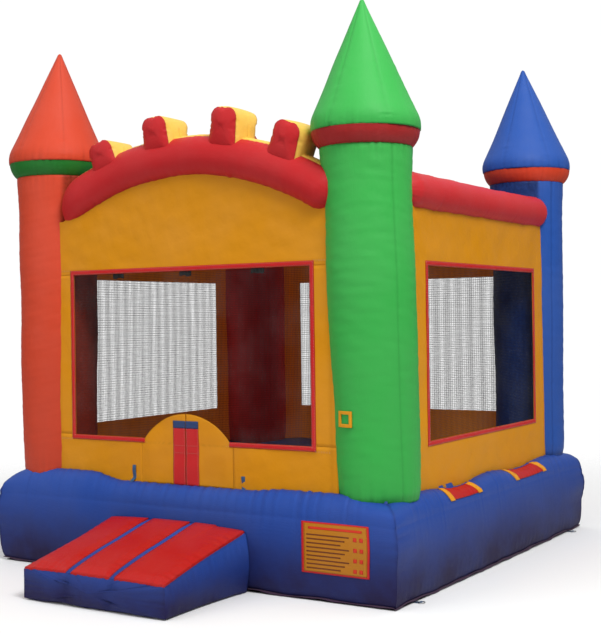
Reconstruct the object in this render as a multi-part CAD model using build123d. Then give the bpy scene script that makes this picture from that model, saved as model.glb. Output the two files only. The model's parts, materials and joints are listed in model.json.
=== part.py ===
from build123d import *
import os
from math import asin, cos, degrees, radians, sin, sqrt

# Castle-style inflatable bounce house: a square air-filled base with an entry step, four corner
# towers with pointed spires, an arched front beam with merlons, straight beams on the other
# sides, sewn wall panels with mesh windows, and a slit door with two swinging leaves.
#
# Frame, in millimetres: +X runs along the front from the left tower to the right one, +Y goes to
# the rear and +Z is up. The origin is the centre of the square base, on the ground.

# ---- Driving dimensions --------------------------------------------------------------------

# Skins and sewn joints
SKIN = 4.0                    # thickness of every inflated chamber's skin
SHEET = 4.0                   # thickness of a single-layer wall panel
NET = 2.0                     # thickness of a window net
TRIM = 3.0                    # thickness of sewn-on tape and bands
SEAM_GAP = 1.0                # gap left where a panel is sewn to a round chamber
PIVOT_GAP = 0.4               # running gap round a moving metal part

# Base
BASE_SEAM = 1955.0            # centre to the bottom seam of each side
BASE_SWELL = 35.0             # how far each side bulges out past its bottom seam
BASE_HEIGHT = 770.0
BASE_EDGE_RADIUS = 100.0      # rounded upper edge
GROUND_SHEET = 4.0
GROUND_SHEET_MARGIN = 5.0     # bottom seam to the ground sheet's edge
BAFFLE_SPACING = 600.0
BAFFLE_COUNT = 5
BAFFLE_PORT_RADIUS = 120.0
BAFFLE_PORT_SPACING = 900.0
BAFFLE_PORT_COUNT = 3

# Towers
TOWER_INSET = 351.0           # bottom seam of the base to a tower's centre
COLUMN_RADIUS = 330.0
COLUMN_HEIGHT = 2625.0        # above the base
COLLAR_HEIGHT = 125.0
COLLAR_FLARE = 15.0           # collar's foot past the column
COLLAR_OVERHANG = 88.0        # collar's rim past the column
COLLAR_SWELL = 12.0           # how far the collar's skin bows out of a straight taper
SPIRE_HEIGHT = 1010.0         # above the collar
SPIRE_BEND_HEIGHT = 132.0     # from the collar up to where the spire's cone begins
SPIRE_BEND_INSET = 23.0       # collar's rim to the foot of the cone
SPIRE_TIP_RADIUS = 8.0
TOWER_PORT_RADIUS = 100.0     # air port from the base into each tower
BEAM_PORT_RADIUS = 60.0       # air port from a tower into a beam
SEAM_ANGLE = 45.0             # where a wall panel is sewn on, round the tower from the front

# Walls and windows
WALL_HEIGHT = 2182.0          # of the straight walls and the gable's shoulders, above the base
SILL_HEIGHT = 366.0           # base to the window's lower edge
WINDOW_HEIGHT = 1375.0
FRONT_STILE = 168.0           # width of the panel at each end of the front and rear windows
SIDE_STILE = 258.0            # the same on the left and right walls
TRIM_WIDTH = 40.0

# Arch, beams and merlons
GABLE_SHOULDER = 123.0        # level length at each end of the gable
GABLE_RISE = 333.0
ARCH_RADIUS = 160.0           # radius of the arch's tube
BEAM_RADIUS = 150.0           # radius of the straight beams' tubes
BEAM_INSET = 70.0             # tube's centre line inside the wall's plane
TUBE_OVERLAP = 45.0           # how far a tube's closed end reaches past the wall's edge
MERLON_WIDTH = 275.0
MERLON_DEPTH = 280.0
MERLON_HEIGHT = 190.0         # above the arch's crown line
MERLON_EDGE = 55.0            # rounding of the merlon's top edges
MERLON_COUNT = 4
MERLON_FIRST = -16.2          # degrees round the arch from its crown
MERLON_SPACING = 12.2

# Door
DOOR_HALF = 457.0             # fold line of each leaf from the middle
DOOR_ARC_RADIUS = 543.0
DOOR_ARC_RISE = 33.0          # door arc's centre above the base
DOOR_SLIT_HALF = 2.0
DOOR_LIFT = 4.0               # leaf's lower edge above the base
LEAF_START = 5.0              # fold line to the leaf's own edge
SILL_START = 6.0              # fold line to the fixed panel's edge
DOOR_BAND_WIDTH = 130.0
DOOR_BAND_HEIGHT = 520.0      # top of the bands above the base

# Entry step
STEP_HALF = 688.0
STEP_REACH = 1005.0
STEP_FRONT_HEIGHT = 235.0
STEP_BACK_HEIGHT = 457.0
STEP_FOOT = 4.0               # underside above the ground
STEP_STRIPE = 50.0            # width of each stripe of the body left showing between treads
STEP_STRIPES_X = (-250.0, 174.0)
STEP_TREAD_MARGIN = 20.0
TREAD = 4.0

# Air inlet and deflation zip, on the rear side
SLEEVE_X = -1100.0
SLEEVE_RADIUS = 120.0         # bore
SLEEVE_LENGTH = 500.0
ZIP_X = 700.0
ZIP_LENGTH = 900.0
ZIP_TAPE_HEIGHT = 36.0
ZIP_TAPE = 2.5
COIL_WIDTH = 7.0
COIL_HEIGHT = 3.0
ZIP_STOP = 10.0
SLIDER_LENGTH = 26.0
SLIDER_WALL = 2.5
PULL_WIDTH = 12.0
PULL_LENGTH = 60.0
PULL = 3.0

# Anchors
ANCHOR_INSET = 305.0          # along the side, from the base's corner to the ring's middle
RING_OUTSET = 60.0            # ground sheet's edge to the ring's straight bar
RING_WIRE = 3.5               # wire radius
RING_RADIUS = 30.0
WEBBING = 2.0
TAB_WIDTH = 44.0

# ---- Sizes worked out from the driving ones --------------------------------------------------

base_bulge = BASE_SEAM + BASE_SWELL
ground_half = BASE_SEAM - GROUND_SHEET_MARGIN
tower_offset = BASE_SEAM - TOWER_INSET
column_top = BASE_HEIGHT + COLUMN_HEIGHT
collar_top = column_top + COLLAR_HEIGHT
spire_top = collar_top + SPIRE_HEIGHT
collar_foot_radius = COLUMN_RADIUS + COLLAR_FLARE
collar_radius = COLUMN_RADIUS + COLLAR_OVERHANG
spire_bend_radius = collar_radius - SPIRE_BEND_INSET

wall_plane = tower_offset + COLUMN_RADIUS * sin(radians(SEAM_ANGLE))
wall_inner = wall_plane - SHEET / 2
wall_outer = wall_plane + SHEET / 2
wall_half = tower_offset - sqrt(COLUMN_RADIUS**2 - (wall_inner - tower_offset) ** 2) - SEAM_GAP
tube_plane = wall_plane - BEAM_INSET
wall_top = BASE_HEIGHT + WALL_HEIGHT
window_bottom = BASE_HEIGHT + SILL_HEIGHT
window_top = window_bottom + WINDOW_HEIGHT
front_window_half = wall_half - FRONT_STILE
side_window_half = wall_half - SIDE_STILE
gable_half_span = wall_half - GABLE_SHOULDER
door_arc_z = BASE_HEIGHT + DOOR_ARC_RISE
ring_x = ground_half + RING_OUTSET
anchor_y = BASE_SEAM - ANCHOR_INSET


def tube_drop(tube_radius):
    """How far under a tube's centre line its surface meets the wall panel."""
    return sqrt(tube_radius**2 - (wall_inner - tube_plane) ** 2) + SEAM_GAP


gable_radius = (gable_half_span**2 + GABLE_RISE**2) / (2 * GABLE_RISE)
arch_centre_z = wall_top + GABLE_RISE - gable_radius
arch_line_radius = gable_radius + tube_drop(ARCH_RADIUS)
beam_z = wall_top + tube_drop(BEAM_RADIUS)
step_back = -base_bulge - SEAM_GAP
ring_z = RING_WIRE + PIVOT_GAP + WEBBING

CORNERS = {
    "front_left": (-1, -1),
    "front_right": (1, -1),
    "rear_right": (1, 1),
    "rear_left": (-1, 1),
}
SIDES = {"front": 0, "right": 90, "rear": 180, "left": 270}

os.makedirs("parts", exist_ok=True)


# ---- Helpers ---------------------------------------------------------------------------------


def save(name, shape):
    """Write one named piece."""
    export_step(shape, f"parts/{name}.step")


def block(low, high):
    """A box from its lowest corner to its highest corner."""
    size = [b - a for a, b in zip(low, high)]
    return Pos(*low) * Box(*size, align=(Align.MIN,) * 3)


def panel(face, plane_y, thickness):
    """A sheet whose outline is drawn in X and Z, with its outer face towards -Y at plane_y."""
    return Pos(0, plane_y, 0) * extrude(Plane.XZ * face, -thickness)


def outline(x_low, x_high, z_low, z_high):
    """A rectangular outline in the wall's own X and Z."""
    width, height = x_high - x_low, z_high - z_low
    return Pos((x_low + x_high) / 2, (z_low + z_high) / 2) * Rectangle(width, height)


def turned(shape, side):
    """The front piece turned about Z to stand on another side."""
    return Rot(0, 0, SIDES[side]) * shape


def columns_solid(gap):
    """The four columns as plain cylinders grown by a gap, for trimming what meets them."""
    cylinder = Cylinder(COLUMN_RADIUS + gap, collar_top, align=(Align.CENTER, Align.CENTER, Align.MIN))
    return [Pos(sx * tower_offset, sy * tower_offset, 0) * cylinder for sx, sy in CORNERS.values()]


# ---- Base ------------------------------------------------------------------------------------


def side_bar(inset):
    """The front side's outer shape, shrunk by inset: its section run along X, mitred at 45 degrees."""
    seam, bulge = BASE_SEAM - inset, base_bulge - inset
    low, high = GROUND_SHEET + inset, BASE_HEIGHT - inset
    radius = BASE_EDGE_RADIUS - inset
    inner = wall_plane + inset
    bend = high - radius
    lines = [
        Line((inner, low), (seam, low)),
        ThreePointArc((seam, low), (bulge, (low + bend) / 2), (seam, bend)),
        CenterArc((seam - radius, bend), radius, 0, 90),
        Line((seam - radius, high), (inner, high)),
        Line((inner, high), (inner, low)),
    ]
    reach = 2 * base_bulge
    section = Plane((reach / 2, 0, 0), x_dir=(0, -1, 0), z_dir=(-1, 0, 0)) * make_face(lines)
    bar = extrude(section, reach)
    shift = inset * sqrt(2)
    corner = base_bulge + SKIN
    mitre_lines = Polyline((0, -shift), (-corner + shift, -corner), (corner - shift, -corner), close=True)
    mitre = make_face(mitre_lines)
    return bar & extrude(mitre, BASE_HEIGHT)


def side_port():
    """Air port through the wall between the floor chamber and the front side chamber."""
    tall = 4 * SKIN
    return Pos(0, -wall_plane, BASE_HEIGHT / 2) * Rot(90, 0, 0) * Cylinder(BAFFLE_PORT_RADIUS, tall)


def base_side(side):
    """One air-filled side of the base, as a closed skin."""
    chamber = side_bar(0) - side_bar(SKIN) - side_port()
    if side == "rear":
        mouth = Cylinder(SLEEVE_RADIUS, 4 * (base_bulge - BASE_SEAM))
        chamber -= Pos(-SLEEVE_X, -BASE_SEAM, sleeve_z()) * Rot(90, 0, 0) * mouth
    return turned(chamber, side)


def sleeve_z():
    """Height of the inlet sleeve's centre: it just clears the ground."""
    return SLEEVE_RADIUS + 2 * SKIN


def bounce_floor():
    """The quilted floor chamber between the four sides, with its air ports."""
    half = wall_plane
    floor = block((-half, -half, GROUND_SHEET), (half, half, BASE_HEIGHT))
    inner = half - SKIN
    floor -= block((-inner, -inner, GROUND_SHEET + SKIN), (inner, inner, BASE_HEIGHT - SKIN))
    tower_port = Cylinder(TOWER_PORT_RADIUS, 4 * SKIN)
    for sx, sy in CORNERS.values():
        floor -= Pos(sx * tower_offset, sy * tower_offset, BASE_HEIGHT) * tower_port
    for side in SIDES:
        floor -= turned(side_port(), side)
    return floor


def floor_baffles():
    """Inner webs that hold the floor flat, each pierced so that air passes along the base."""
    inner = wall_plane - SKIN
    low, high = GROUND_SHEET + SKIN, BASE_HEIGHT - SKIN
    web = block((-SKIN / 2, -inner, low), (SKIN / 2, inner, high))
    port = Rot(0, 90, 0) * Cylinder(BAFFLE_PORT_RADIUS, 4 * SKIN)
    for index in range(BAFFLE_PORT_COUNT):
        along = (index - (BAFFLE_PORT_COUNT - 1) / 2) * BAFFLE_PORT_SPACING
        web -= Pos(0, along, BASE_HEIGHT / 2) * port
    first = -(BAFFLE_COUNT - 1) / 2 * BAFFLE_SPACING
    return Compound([Pos(first + i * BAFFLE_SPACING, 0, 0) * web for i in range(BAFFLE_COUNT)])


save("ground_sheet", block((-ground_half, -ground_half, 0), (ground_half, ground_half, GROUND_SHEET)))
save("bounce_floor", bounce_floor())
save("floor_baffles", floor_baffles())
for side in SIDES:
    save(f"base_{side}", base_side(side))


# ---- Towers ----------------------------------------------------------------------------------


def column():
    """A tower's upright tube, open at both ends, with air ports to its two beams."""
    stand = (Align.CENTER, Align.CENTER, Align.MIN)
    tube = Cylinder(COLUMN_RADIUS, COLUMN_HEIGHT, align=stand)
    tube -= Cylinder(COLUMN_RADIUS - SKIN, COLUMN_HEIGHT, align=stand)
    tube = Pos(0, 0, BASE_HEIGHT) * tube
    offset = tube_plane - tower_offset
    port = Cylinder(BEAM_PORT_RADIUS, 2 * COLUMN_RADIUS, align=stand)
    tube -= Pos(0, offset, beam_z) * Rot(0, -90, 0) * port
    tube -= Pos(offset, 0, beam_z) * Rot(90, 0, 0) * port
    return tube


def collar(inset):
    """The collar's outer shape, shrunk by inset, as a solid of revolution."""
    foot, top = collar_foot_radius - inset, collar_radius - inset
    middle = ((foot + top) / 2 + COLLAR_SWELL, (column_top + collar_top) / 2)
    lines = [
        Line((0, column_top), (foot, column_top)),
        ThreePointArc((foot, column_top), middle, (top, collar_top)),
        Line((top, collar_top), (0, collar_top)),
        Line((0, collar_top), (0, column_top)),
    ]
    return revolve(Plane.XZ * make_face(lines), Axis.Z)


def spire(inset):
    """The spire's outer shape, shrunk by inset: a rounded shoulder and a straight cone."""
    shoulder = (spire_bend_radius - inset, collar_top + SPIRE_BEND_HEIGHT)
    tip = (max(SPIRE_TIP_RADIUS - inset, SKIN / 2), spire_top - 4 * inset)
    slope = Vector(shoulder[0] - tip[0], shoulder[1] - tip[1])
    cone = Line(tip, shoulder)
    swell = TangentArc(shoulder, (collar_radius - inset, collar_top), tangent=slope)
    lines = [
        Line((0, tip[1]), tip),
        cone,
        swell,
        Line((collar_radius - inset, collar_top), (0, collar_top)),
        Line((0, collar_top), (0, tip[1])),
    ]
    return revolve(Plane.XZ * make_face(lines), Axis.Z)


tower_pieces = {"column": column(), "collar": collar(0) - collar(SKIN), "spire": spire(0) - spire(SKIN)}
# The column's beam ports face the middle from the rear-right corner; a quarter turn moves them on.
CORNER_TURN = {"rear_right": 0, "rear_left": 90, "front_left": 180, "front_right": 270}
for corner, (sx, sy) in CORNERS.items():
    for name, shape in tower_pieces.items():
        spun = Rot(0, 0, CORNER_TURN[corner]) * shape
        save(f"{name}_{corner}", Pos(sx * tower_offset, sy * tower_offset, 0) * spun)


# ---- Arch, merlons, beams and roof -----------------------------------------------------------


def arch_tube(inset):
    """The arch's outer shape, shrunk by inset: a tube along an arc, with closed ends."""
    half_angle = degrees(asin((wall_half + TUBE_OVERLAP - inset) / arch_line_radius))
    path = Plane.XZ * CenterArc((0, arch_centre_z), arch_line_radius, 90 - half_angle, 2 * half_angle)
    path = Pos(0, -tube_plane, 0) * path
    start = Plane(path @ 0, z_dir=path % 0)
    return sweep(start * Circle(ARCH_RADIUS - inset), path=path)


def merlon(inset):
    """One merlon's outer shape at the arch's crown, shrunk by inset, with rounded top edges."""
    half_width, half_depth = MERLON_WIDTH / 2 - inset, MERLON_DEPTH / 2 - inset
    crown = arch_line_radius + ARCH_RADIUS
    top = crown + MERLON_HEIGHT - inset
    body = block(
        (-half_width, -half_depth, arch_line_radius),
        (half_width, half_depth, top),
    )
    return fillet(body.faces().sort_by(Axis.Z)[-1].edges(), MERLON_EDGE - inset)


def beam_tube(inset):
    """A straight beam's outer shape, shrunk by inset, over the front wall."""
    length = 2 * (wall_half + TUBE_OVERLAP - inset)
    return Pos(0, -tube_plane, beam_z) * Rot(0, 90, 0) * Cylinder(BEAM_RADIUS - inset, length)


def between_towers(shape):
    """A tube or sheet with the four columns' room cut out of it."""
    for post in columns_solid(SEAM_GAP):
        shape -= post
    return shape


save("front_arch", between_towers(arch_tube(0) - arch_tube(SKIN)))

one_merlon = merlon(0) - merlon(SKIN)
for index in range(MERLON_COUNT):
    seat = Pos(0, -tube_plane, arch_centre_z) * Rot(0, MERLON_FIRST + index * MERLON_SPACING, 0)
    save(f"merlon_{index + 1}", seat * one_merlon - arch_tube(-SEAM_GAP))

straight_beam = between_towers(beam_tube(0) - beam_tube(SKIN))
for side in ("right", "rear", "left"):
    save(f"beam_{side}", turned(straight_beam, side))

roof_half = tube_plane - BEAM_RADIUS - SEAM_GAP
roof = block((-roof_half, -wall_inner + SEAM_GAP, beam_z), (roof_half, roof_half, beam_z + SHEET))
save("roof_sheet", between_towers(roof - arch_tube(-SEAM_GAP)))


# ---- Walls, windows and door -----------------------------------------------------------------


def window_trim(half):
    """Sewn border tape round a window, lying on the panel's outer face."""
    edge = half + TRIM_WIDTH
    outer = outline(-edge, edge, window_bottom - TRIM_WIDTH, window_top + TRIM_WIDTH)
    return outer - outline(-half, half, window_bottom, window_top)


def door_disc(gap):
    """The half-round door's outline, grown by a gap."""
    return Pos(0, door_arc_z) * Circle(DOOR_ARC_RADIUS + gap)


def gable():
    """The arched panel over the front window, up to the underside of the arch."""
    full = outline(-wall_half, wall_half, window_top, wall_top)
    crown = Pos(0, arch_centre_z) * Circle(gable_radius)
    return full + (crown & outline(-gable_half_span, gable_half_span, wall_top, wall_top + 2 * GABLE_RISE))


window = outline(-front_window_half, front_window_half, window_bottom, window_top)
sill_start = DOOR_HALF + SILL_START
doorway = outline(-sill_start, sill_start, BASE_HEIGHT, window_bottom)
front_panels = {
    "front_gable": gable(),
    "front_stile_left": outline(-wall_half, -front_window_half, window_bottom, window_top),
    "front_stile_right": outline(front_window_half, wall_half, window_bottom, window_top),
    "front_sill_left": outline(-wall_half, -sill_start, BASE_HEIGHT, window_bottom),
    "front_sill_right": outline(sill_start, wall_half, BASE_HEIGHT, window_bottom),
}
for name, face in front_panels.items():
    sheet = panel(face, -wall_outer, SHEET)
    save(name, sheet - arch_tube(-SEAM_GAP) if name == "front_gable" else sheet)

net_face = -wall_plane - NET / 2
save("net_front", panel(window - door_disc(SEAM_GAP), net_face, NET))
front_trim = window_trim(front_window_half) - door_disc(SEAM_GAP) - doorway
save("trim_front", panel(front_trim, -wall_outer - TRIM, TRIM))

wall_outline = outline(-wall_half, wall_half, BASE_HEIGHT, wall_top)
for side, half in (("right", side_window_half), ("rear", front_window_half), ("left", side_window_half)):
    opening = outline(-half, half, window_bottom, window_top)
    save(f"wall_{side}", turned(panel(wall_outline - opening, -wall_outer, SHEET), side))
    save(f"net_{side}", turned(panel(opening, net_face, NET), side))
    save(f"trim_{side}", turned(panel(window_trim(half), -wall_outer - TRIM, TRIM), side))

leaf_bottom = BASE_HEIGHT + DOOR_LIFT
leaf_edge = DOOR_HALF - LEAF_START
door_top = door_arc_z + DOOR_ARC_RADIUS
band_top = BASE_HEIGHT + DOOR_BAND_HEIGHT
band_edge = DOOR_SLIT_HALF + DOOR_BAND_WIDTH
leaf = outline(DOOR_SLIT_HALF, leaf_edge, leaf_bottom, door_top) & door_disc(0)
band = outline(DOOR_SLIT_HALF, band_edge, leaf_bottom, band_top)
for name, face, front in (("door_leaf", leaf, -wall_outer), ("door_band", band, -wall_outer - TRIM)):
    right = panel(face, front, SHEET if name == "door_leaf" else TRIM)
    save(f"{name}_right", right)
    save(f"{name}_left", mirror(right, about=Plane.YZ))


# ---- Entry step ------------------------------------------------------------------------------


def step_wedge(inset):
    """The step's outer shape, shrunk by inset: a box whose top slopes down to the front."""
    back, front = step_back - inset, step_back - STEP_REACH + inset
    low = STEP_FOOT + inset
    side = make_face(
        Polyline(
            (back, low),
            (front, low),
            (front, STEP_FRONT_HEIGHT - inset),
            (back, STEP_BACK_HEIGHT - inset),
            close=True,
        )
    )
    width = 2 * (STEP_HALF - inset)
    return extrude(Plane((-width / 2, 0, 0), x_dir=(0, 1, 0), z_dir=(1, 0, 0)) * side, width)


save("step_body", step_wedge(0) - step_wedge(SKIN))

tread_skirt = Pos(0, 0, TREAD) * step_wedge(0) - step_wedge(0)
tread_half = STEP_HALF - STEP_TREAD_MARGIN
tread_front = step_back - STEP_REACH + STEP_TREAD_MARGIN
stripe_edges = [x + side * STEP_STRIPE / 2 for x in STEP_STRIPES_X for side in (-1, 1)]
tread_edges = [-tread_half, *stripe_edges, tread_half]
for name, x_low, x_high in zip(("left", "middle", "right"), tread_edges[::2], tread_edges[1::2]):
    lane = block((x_low, tread_front, STEP_FOOT + 2 * TREAD), (x_high, step_back, STEP_BACK_HEIGHT + TREAD))
    save(f"step_tread_{name}", tread_skirt & lane)


# ---- Air inlet and deflation zip -------------------------------------------------------------

rear_face = base_bulge + SEAM_GAP
outer_sleeve = Cylinder(SLEEVE_RADIUS + SKIN, 2 * SLEEVE_LENGTH) - Cylinder(SLEEVE_RADIUS, 2 * SLEEVE_LENGTH)
sleeve = Pos(SLEEVE_X, rear_face, sleeve_z()) * Rot(90, 0, 0) * outer_sleeve
save("air_inlet_sleeve", sleeve & block((-base_bulge, rear_face, 0), (0, 2 * base_bulge, BASE_HEIGHT)))

zip_z = (GROUND_SHEET + BASE_HEIGHT - BASE_EDGE_RADIUS) / 2
zip_low, zip_high = ZIP_X - ZIP_LENGTH / 2, ZIP_X + ZIP_LENGTH / 2
tape_back = base_bulge
tape_front = base_bulge + ZIP_TAPE
coil_front = tape_front + COIL_HEIGHT
tape_half, coil_half = ZIP_TAPE_HEIGHT / 2, COIL_WIDTH / 2
tape = block((zip_low, tape_back, zip_z - tape_half), (zip_high, tape_front, zip_z + tape_half))
coil = block((zip_low, tape_back, zip_z - coil_half), (zip_high, coil_front, zip_z + coil_half))
stop_half = coil_half + SLIDER_WALL
stop_front = coil_front + SLIDER_WALL
stops = [
    block((x, tape_back, zip_z - stop_half), (x + ZIP_STOP, stop_front, zip_z + stop_half))
    for x in (zip_low, zip_high - ZIP_STOP)
]
save("zip_tape", tape + coil + stops)

slider_high = zip_high - ZIP_STOP - PIVOT_GAP
slider_low = slider_high - SLIDER_LENGTH
grip = coil_half + PIVOT_GAP
slider = block(
    (slider_low, tape_front + PIVOT_GAP, zip_z - grip - SLIDER_WALL),
    (slider_high, coil_front + PIVOT_GAP + SLIDER_WALL, zip_z + grip + SLIDER_WALL),
)
slider -= block(
    (slider_low, tape_front, zip_z - grip),
    (slider_high, coil_front + PIVOT_GAP, zip_z + grip),
)
pull_front = coil_front + PIVOT_GAP + SLIDER_WALL + PULL
pull_x = (slider_low + slider_high) / 2
pull = block(
    (pull_x - PULL_WIDTH / 2, pull_front - PULL, zip_z - PULL_LENGTH),
    (pull_x + PULL_WIDTH / 2, pull_front, zip_z + coil_half),
)
save("zip_slider", slider + pull)


# ---- Anchors ---------------------------------------------------------------------------------


def anchor_ring():
    """A D-ring lying flat on the +X side of its straight bar, which is on the Y axis."""
    bow = Torus(RING_RADIUS, RING_WIRE) & block(
        (0, -2 * RING_RADIUS, -RING_WIRE), (2 * RING_RADIUS, 2 * RING_RADIUS, RING_WIRE)
    )
    bar = Rot(90, 0, 0) * Cylinder(RING_WIRE, 2 * RING_RADIUS)
    ends = [Pos(0, y, 0) * Sphere(RING_WIRE) for y in (-RING_RADIUS, RING_RADIUS)]
    return bow + bar + ends


def anchor_tab():
    """A webbing tab folded round the ring's bar, reaching back to the ground sheet's edge."""
    loop = RING_WIRE + PIVOT_GAP + WEBBING
    legs = Pos((ground_half - ring_x) / 2, -loop + WEBBING) * Rectangle(ring_x - ground_half, 2 * WEBBING)
    profile = make_hull([*Circle(loop).edges(), *legs.edges()])
    under_base = outline(ground_half - ring_x, base_bulge - ring_x, -loop + 2 * WEBBING, 2 * loop)
    profile = profile - under_base - Circle(RING_WIRE + PIVOT_GAP)
    return extrude(Plane.XZ * profile, TAB_WIDTH / 2, both=True)


ring, tab = anchor_ring(), anchor_tab()
tabs = []
for corner, (sx, sy) in CORNERS.items():
    place = Pos(sx * ring_x, sy * anchor_y, ring_z) * Rot(0, 0, 0 if sx > 0 else 180)
    save(f"anchor_ring_{corner}", place * ring)
    tabs.append(place * tab)
save("anchor_tabs", Compound(tabs))
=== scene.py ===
"""Castle-style inflatable bounce house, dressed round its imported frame.

Every length is in metres, in the frame's own axes: +X along the front from the left tower to the
right one, +Y to the rear, +Z up, with the origin at the middle of the base, on the ground.
"""
import json
import logging
import math
from dataclasses import dataclass, field
from enum import Enum
from typing import Callable

import bmesh
import bpy
import numpy as np
from mathutils import Matrix, Vector

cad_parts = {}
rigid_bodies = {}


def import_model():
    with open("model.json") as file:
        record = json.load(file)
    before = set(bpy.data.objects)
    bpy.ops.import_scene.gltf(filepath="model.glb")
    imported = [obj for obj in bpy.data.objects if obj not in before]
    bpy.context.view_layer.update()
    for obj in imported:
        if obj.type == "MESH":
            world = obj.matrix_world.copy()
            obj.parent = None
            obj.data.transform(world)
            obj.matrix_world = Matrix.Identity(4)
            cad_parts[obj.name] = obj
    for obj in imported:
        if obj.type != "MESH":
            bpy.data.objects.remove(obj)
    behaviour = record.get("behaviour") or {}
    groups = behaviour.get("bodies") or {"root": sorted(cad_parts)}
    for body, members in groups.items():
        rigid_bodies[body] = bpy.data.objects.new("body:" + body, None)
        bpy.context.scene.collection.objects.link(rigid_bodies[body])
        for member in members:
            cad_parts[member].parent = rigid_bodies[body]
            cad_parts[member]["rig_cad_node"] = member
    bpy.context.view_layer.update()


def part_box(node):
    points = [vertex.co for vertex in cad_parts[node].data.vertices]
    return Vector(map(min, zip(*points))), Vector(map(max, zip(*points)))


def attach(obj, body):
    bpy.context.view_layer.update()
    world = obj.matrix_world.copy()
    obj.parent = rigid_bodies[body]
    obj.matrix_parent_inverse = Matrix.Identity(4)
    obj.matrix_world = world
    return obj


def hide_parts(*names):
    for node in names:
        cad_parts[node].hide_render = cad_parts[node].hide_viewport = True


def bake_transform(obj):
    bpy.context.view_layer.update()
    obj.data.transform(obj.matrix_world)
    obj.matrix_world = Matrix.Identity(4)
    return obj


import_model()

HOUSE = "house"
TAU = 2 * math.pi
log = logging.getLogger("bounce_house")

Colour = tuple[float, float, float]
Array = np.ndarray


class Side(Enum):
    """The four sides of the house, each by its quarter turns from the front."""

    FRONT = 0
    RIGHT = 1
    REAR = 2
    LEFT = 3

    @property
    def word(self) -> str:
        """The side's name as the frame's nodes have it."""
        return self.name.lower()


class Corner(Enum):
    """The four corners, each by the signs of its X and Y."""

    FRONT_LEFT = (-1, -1)
    FRONT_RIGHT = (1, -1)
    REAR_RIGHT = (1, 1)
    REAR_LEFT = (-1, 1)

    @property
    def word(self) -> str:
        """The corner's name as the frame's nodes have it."""
        return self.name.lower()


class Held(Enum):
    """How a sheet of cloth is held."""

    STRETCHED = "stretched"
    LAID = "laid"
    HUNG = "hung"


# ---- Sizes read from the frame ----


@dataclass(frozen=True)
class Sizes:
    """The places that several sub-assemblies share, all read from the frame."""

    wall: float
    wall_half: float
    bulge: float
    base_top: float
    tower: float
    column_radius: float
    column_top: float
    collar_top: float
    collar_radius: float
    spire_top: float
    wall_top: float
    window_low: float
    window_high: float
    front_window: float
    side_window: float
    tube: float
    arch_radius: float

    @classmethod
    def read(cls) -> "Sizes":
        """Measure the frame's nodes.

        Returns:
            The shared sizes.
        """
        wall_low, wall_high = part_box("wall_right")
        column_low, column_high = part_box("column_front_right")
        collar_low, collar_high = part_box("collar_front_right")
        net_low, net_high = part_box("net_rear")
        beam_low, beam_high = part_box("beam_rear")
        return cls(
            wall=(wall_low.x + wall_high.x) / 2,
            wall_half=wall_high.y,
            bulge=-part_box("base_front")[0].y,
            base_top=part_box("base_front")[1].z,
            tower=(column_low.x + column_high.x) / 2,
            column_radius=(column_high.x - column_low.x) / 2,
            column_top=column_high.z,
            collar_top=collar_high.z,
            collar_radius=(collar_high.x - collar_low.x) / 2,
            spire_top=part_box("spire_front_right")[1].z,
            wall_top=wall_high.z,
            window_low=net_low.z,
            window_high=net_high.z,
            front_window=net_high.x,
            side_window=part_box("net_right")[1].y,
            tube=(beam_low.y + beam_high.y) / 2,
            arch_radius=0.160,
        )


# ---- Plain mathematics ----


def smooth(low: float, high: float, value: Array) -> Array:
    """A smooth step from 0 at low to 1 at high."""
    share = np.clip((value - low) / (high - low), 0.0, 1.0)
    return share * share * (3 - 2 * share)


def ripple(along: Array, pitch: float, seed: int, waves: int = 6) -> Array:
    """An uneven wave along a line, about -1 to 1.

    Args:
        along: Places along the line.
        pitch: Usual length of one wave.
        seed: Which wave it is.
        waves: How many plain waves it is made of.

    Returns:
        The wave's height at each place.
    """
    draw = np.random.default_rng(seed)
    total = np.zeros_like(along, dtype=float)
    for _ in range(waves):
        length = pitch * draw.uniform(0.55, 1.9)
        total += draw.uniform(0.5, 1.0) * np.sin(TAU * along / length + draw.uniform(0, TAU))
    return total / math.sqrt(waves)


def swell(points: Array, size: float, seed: int, waves: int = 9) -> Array:
    """An uneven field in space, about -1 to 1.

    Args:
        points: Places, with X, Y and Z last.
        size: Usual width of one swelling.
        seed: Which field it is.
        waves: How many plain waves it is made of.

    Returns:
        The field at each place.
    """
    draw = np.random.default_rng(seed)
    total = np.zeros(points.shape[:-1])
    for _ in range(waves):
        heading = draw.normal(size=3)
        heading *= TAU / (size * draw.uniform(0.7, 1.8) * np.linalg.norm(heading))
        total += np.sin(points @ heading + draw.uniform(0, TAU))
    return total / math.sqrt(waves)


def peak(away: Array, width: float, power: float = 2) -> Array:
    """A smooth hump that is 1 at 0 and dies out past its width."""
    return np.exp(-((away / width) ** power))


def turn_between(angle: Array, seam: float) -> Array:
    """The turn from a seam to each direction, without its sign."""
    return np.abs((angle - seam + math.pi) % TAU - math.pi)


def all_round(count: int) -> Array:
    """Directions evenly spaced over a whole turn."""
    return np.linspace(0, TAU, count, endpoint=False)


def lattice(down: Array, along: Array) -> tuple[Array, Array]:
    """Both coordinates of every grid point, with one row for each value of the first."""
    return np.meshgrid(down, along, indexing="ij")


def level(across: Array, along: Array) -> Array:
    """Places on the ground, with X, Y and Z last."""
    return np.stack([across, along, across * 0], -1)


def upright(along: Array, height: Array) -> Array:
    """Places on an upright plane, with X, Y and Z last."""
    return np.stack([along, along * 0, height], -1)


def between(values: Array) -> Array:
    """The value halfway between each two neighbours."""
    return (values[1:] + values[:-1]) / 2


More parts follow.
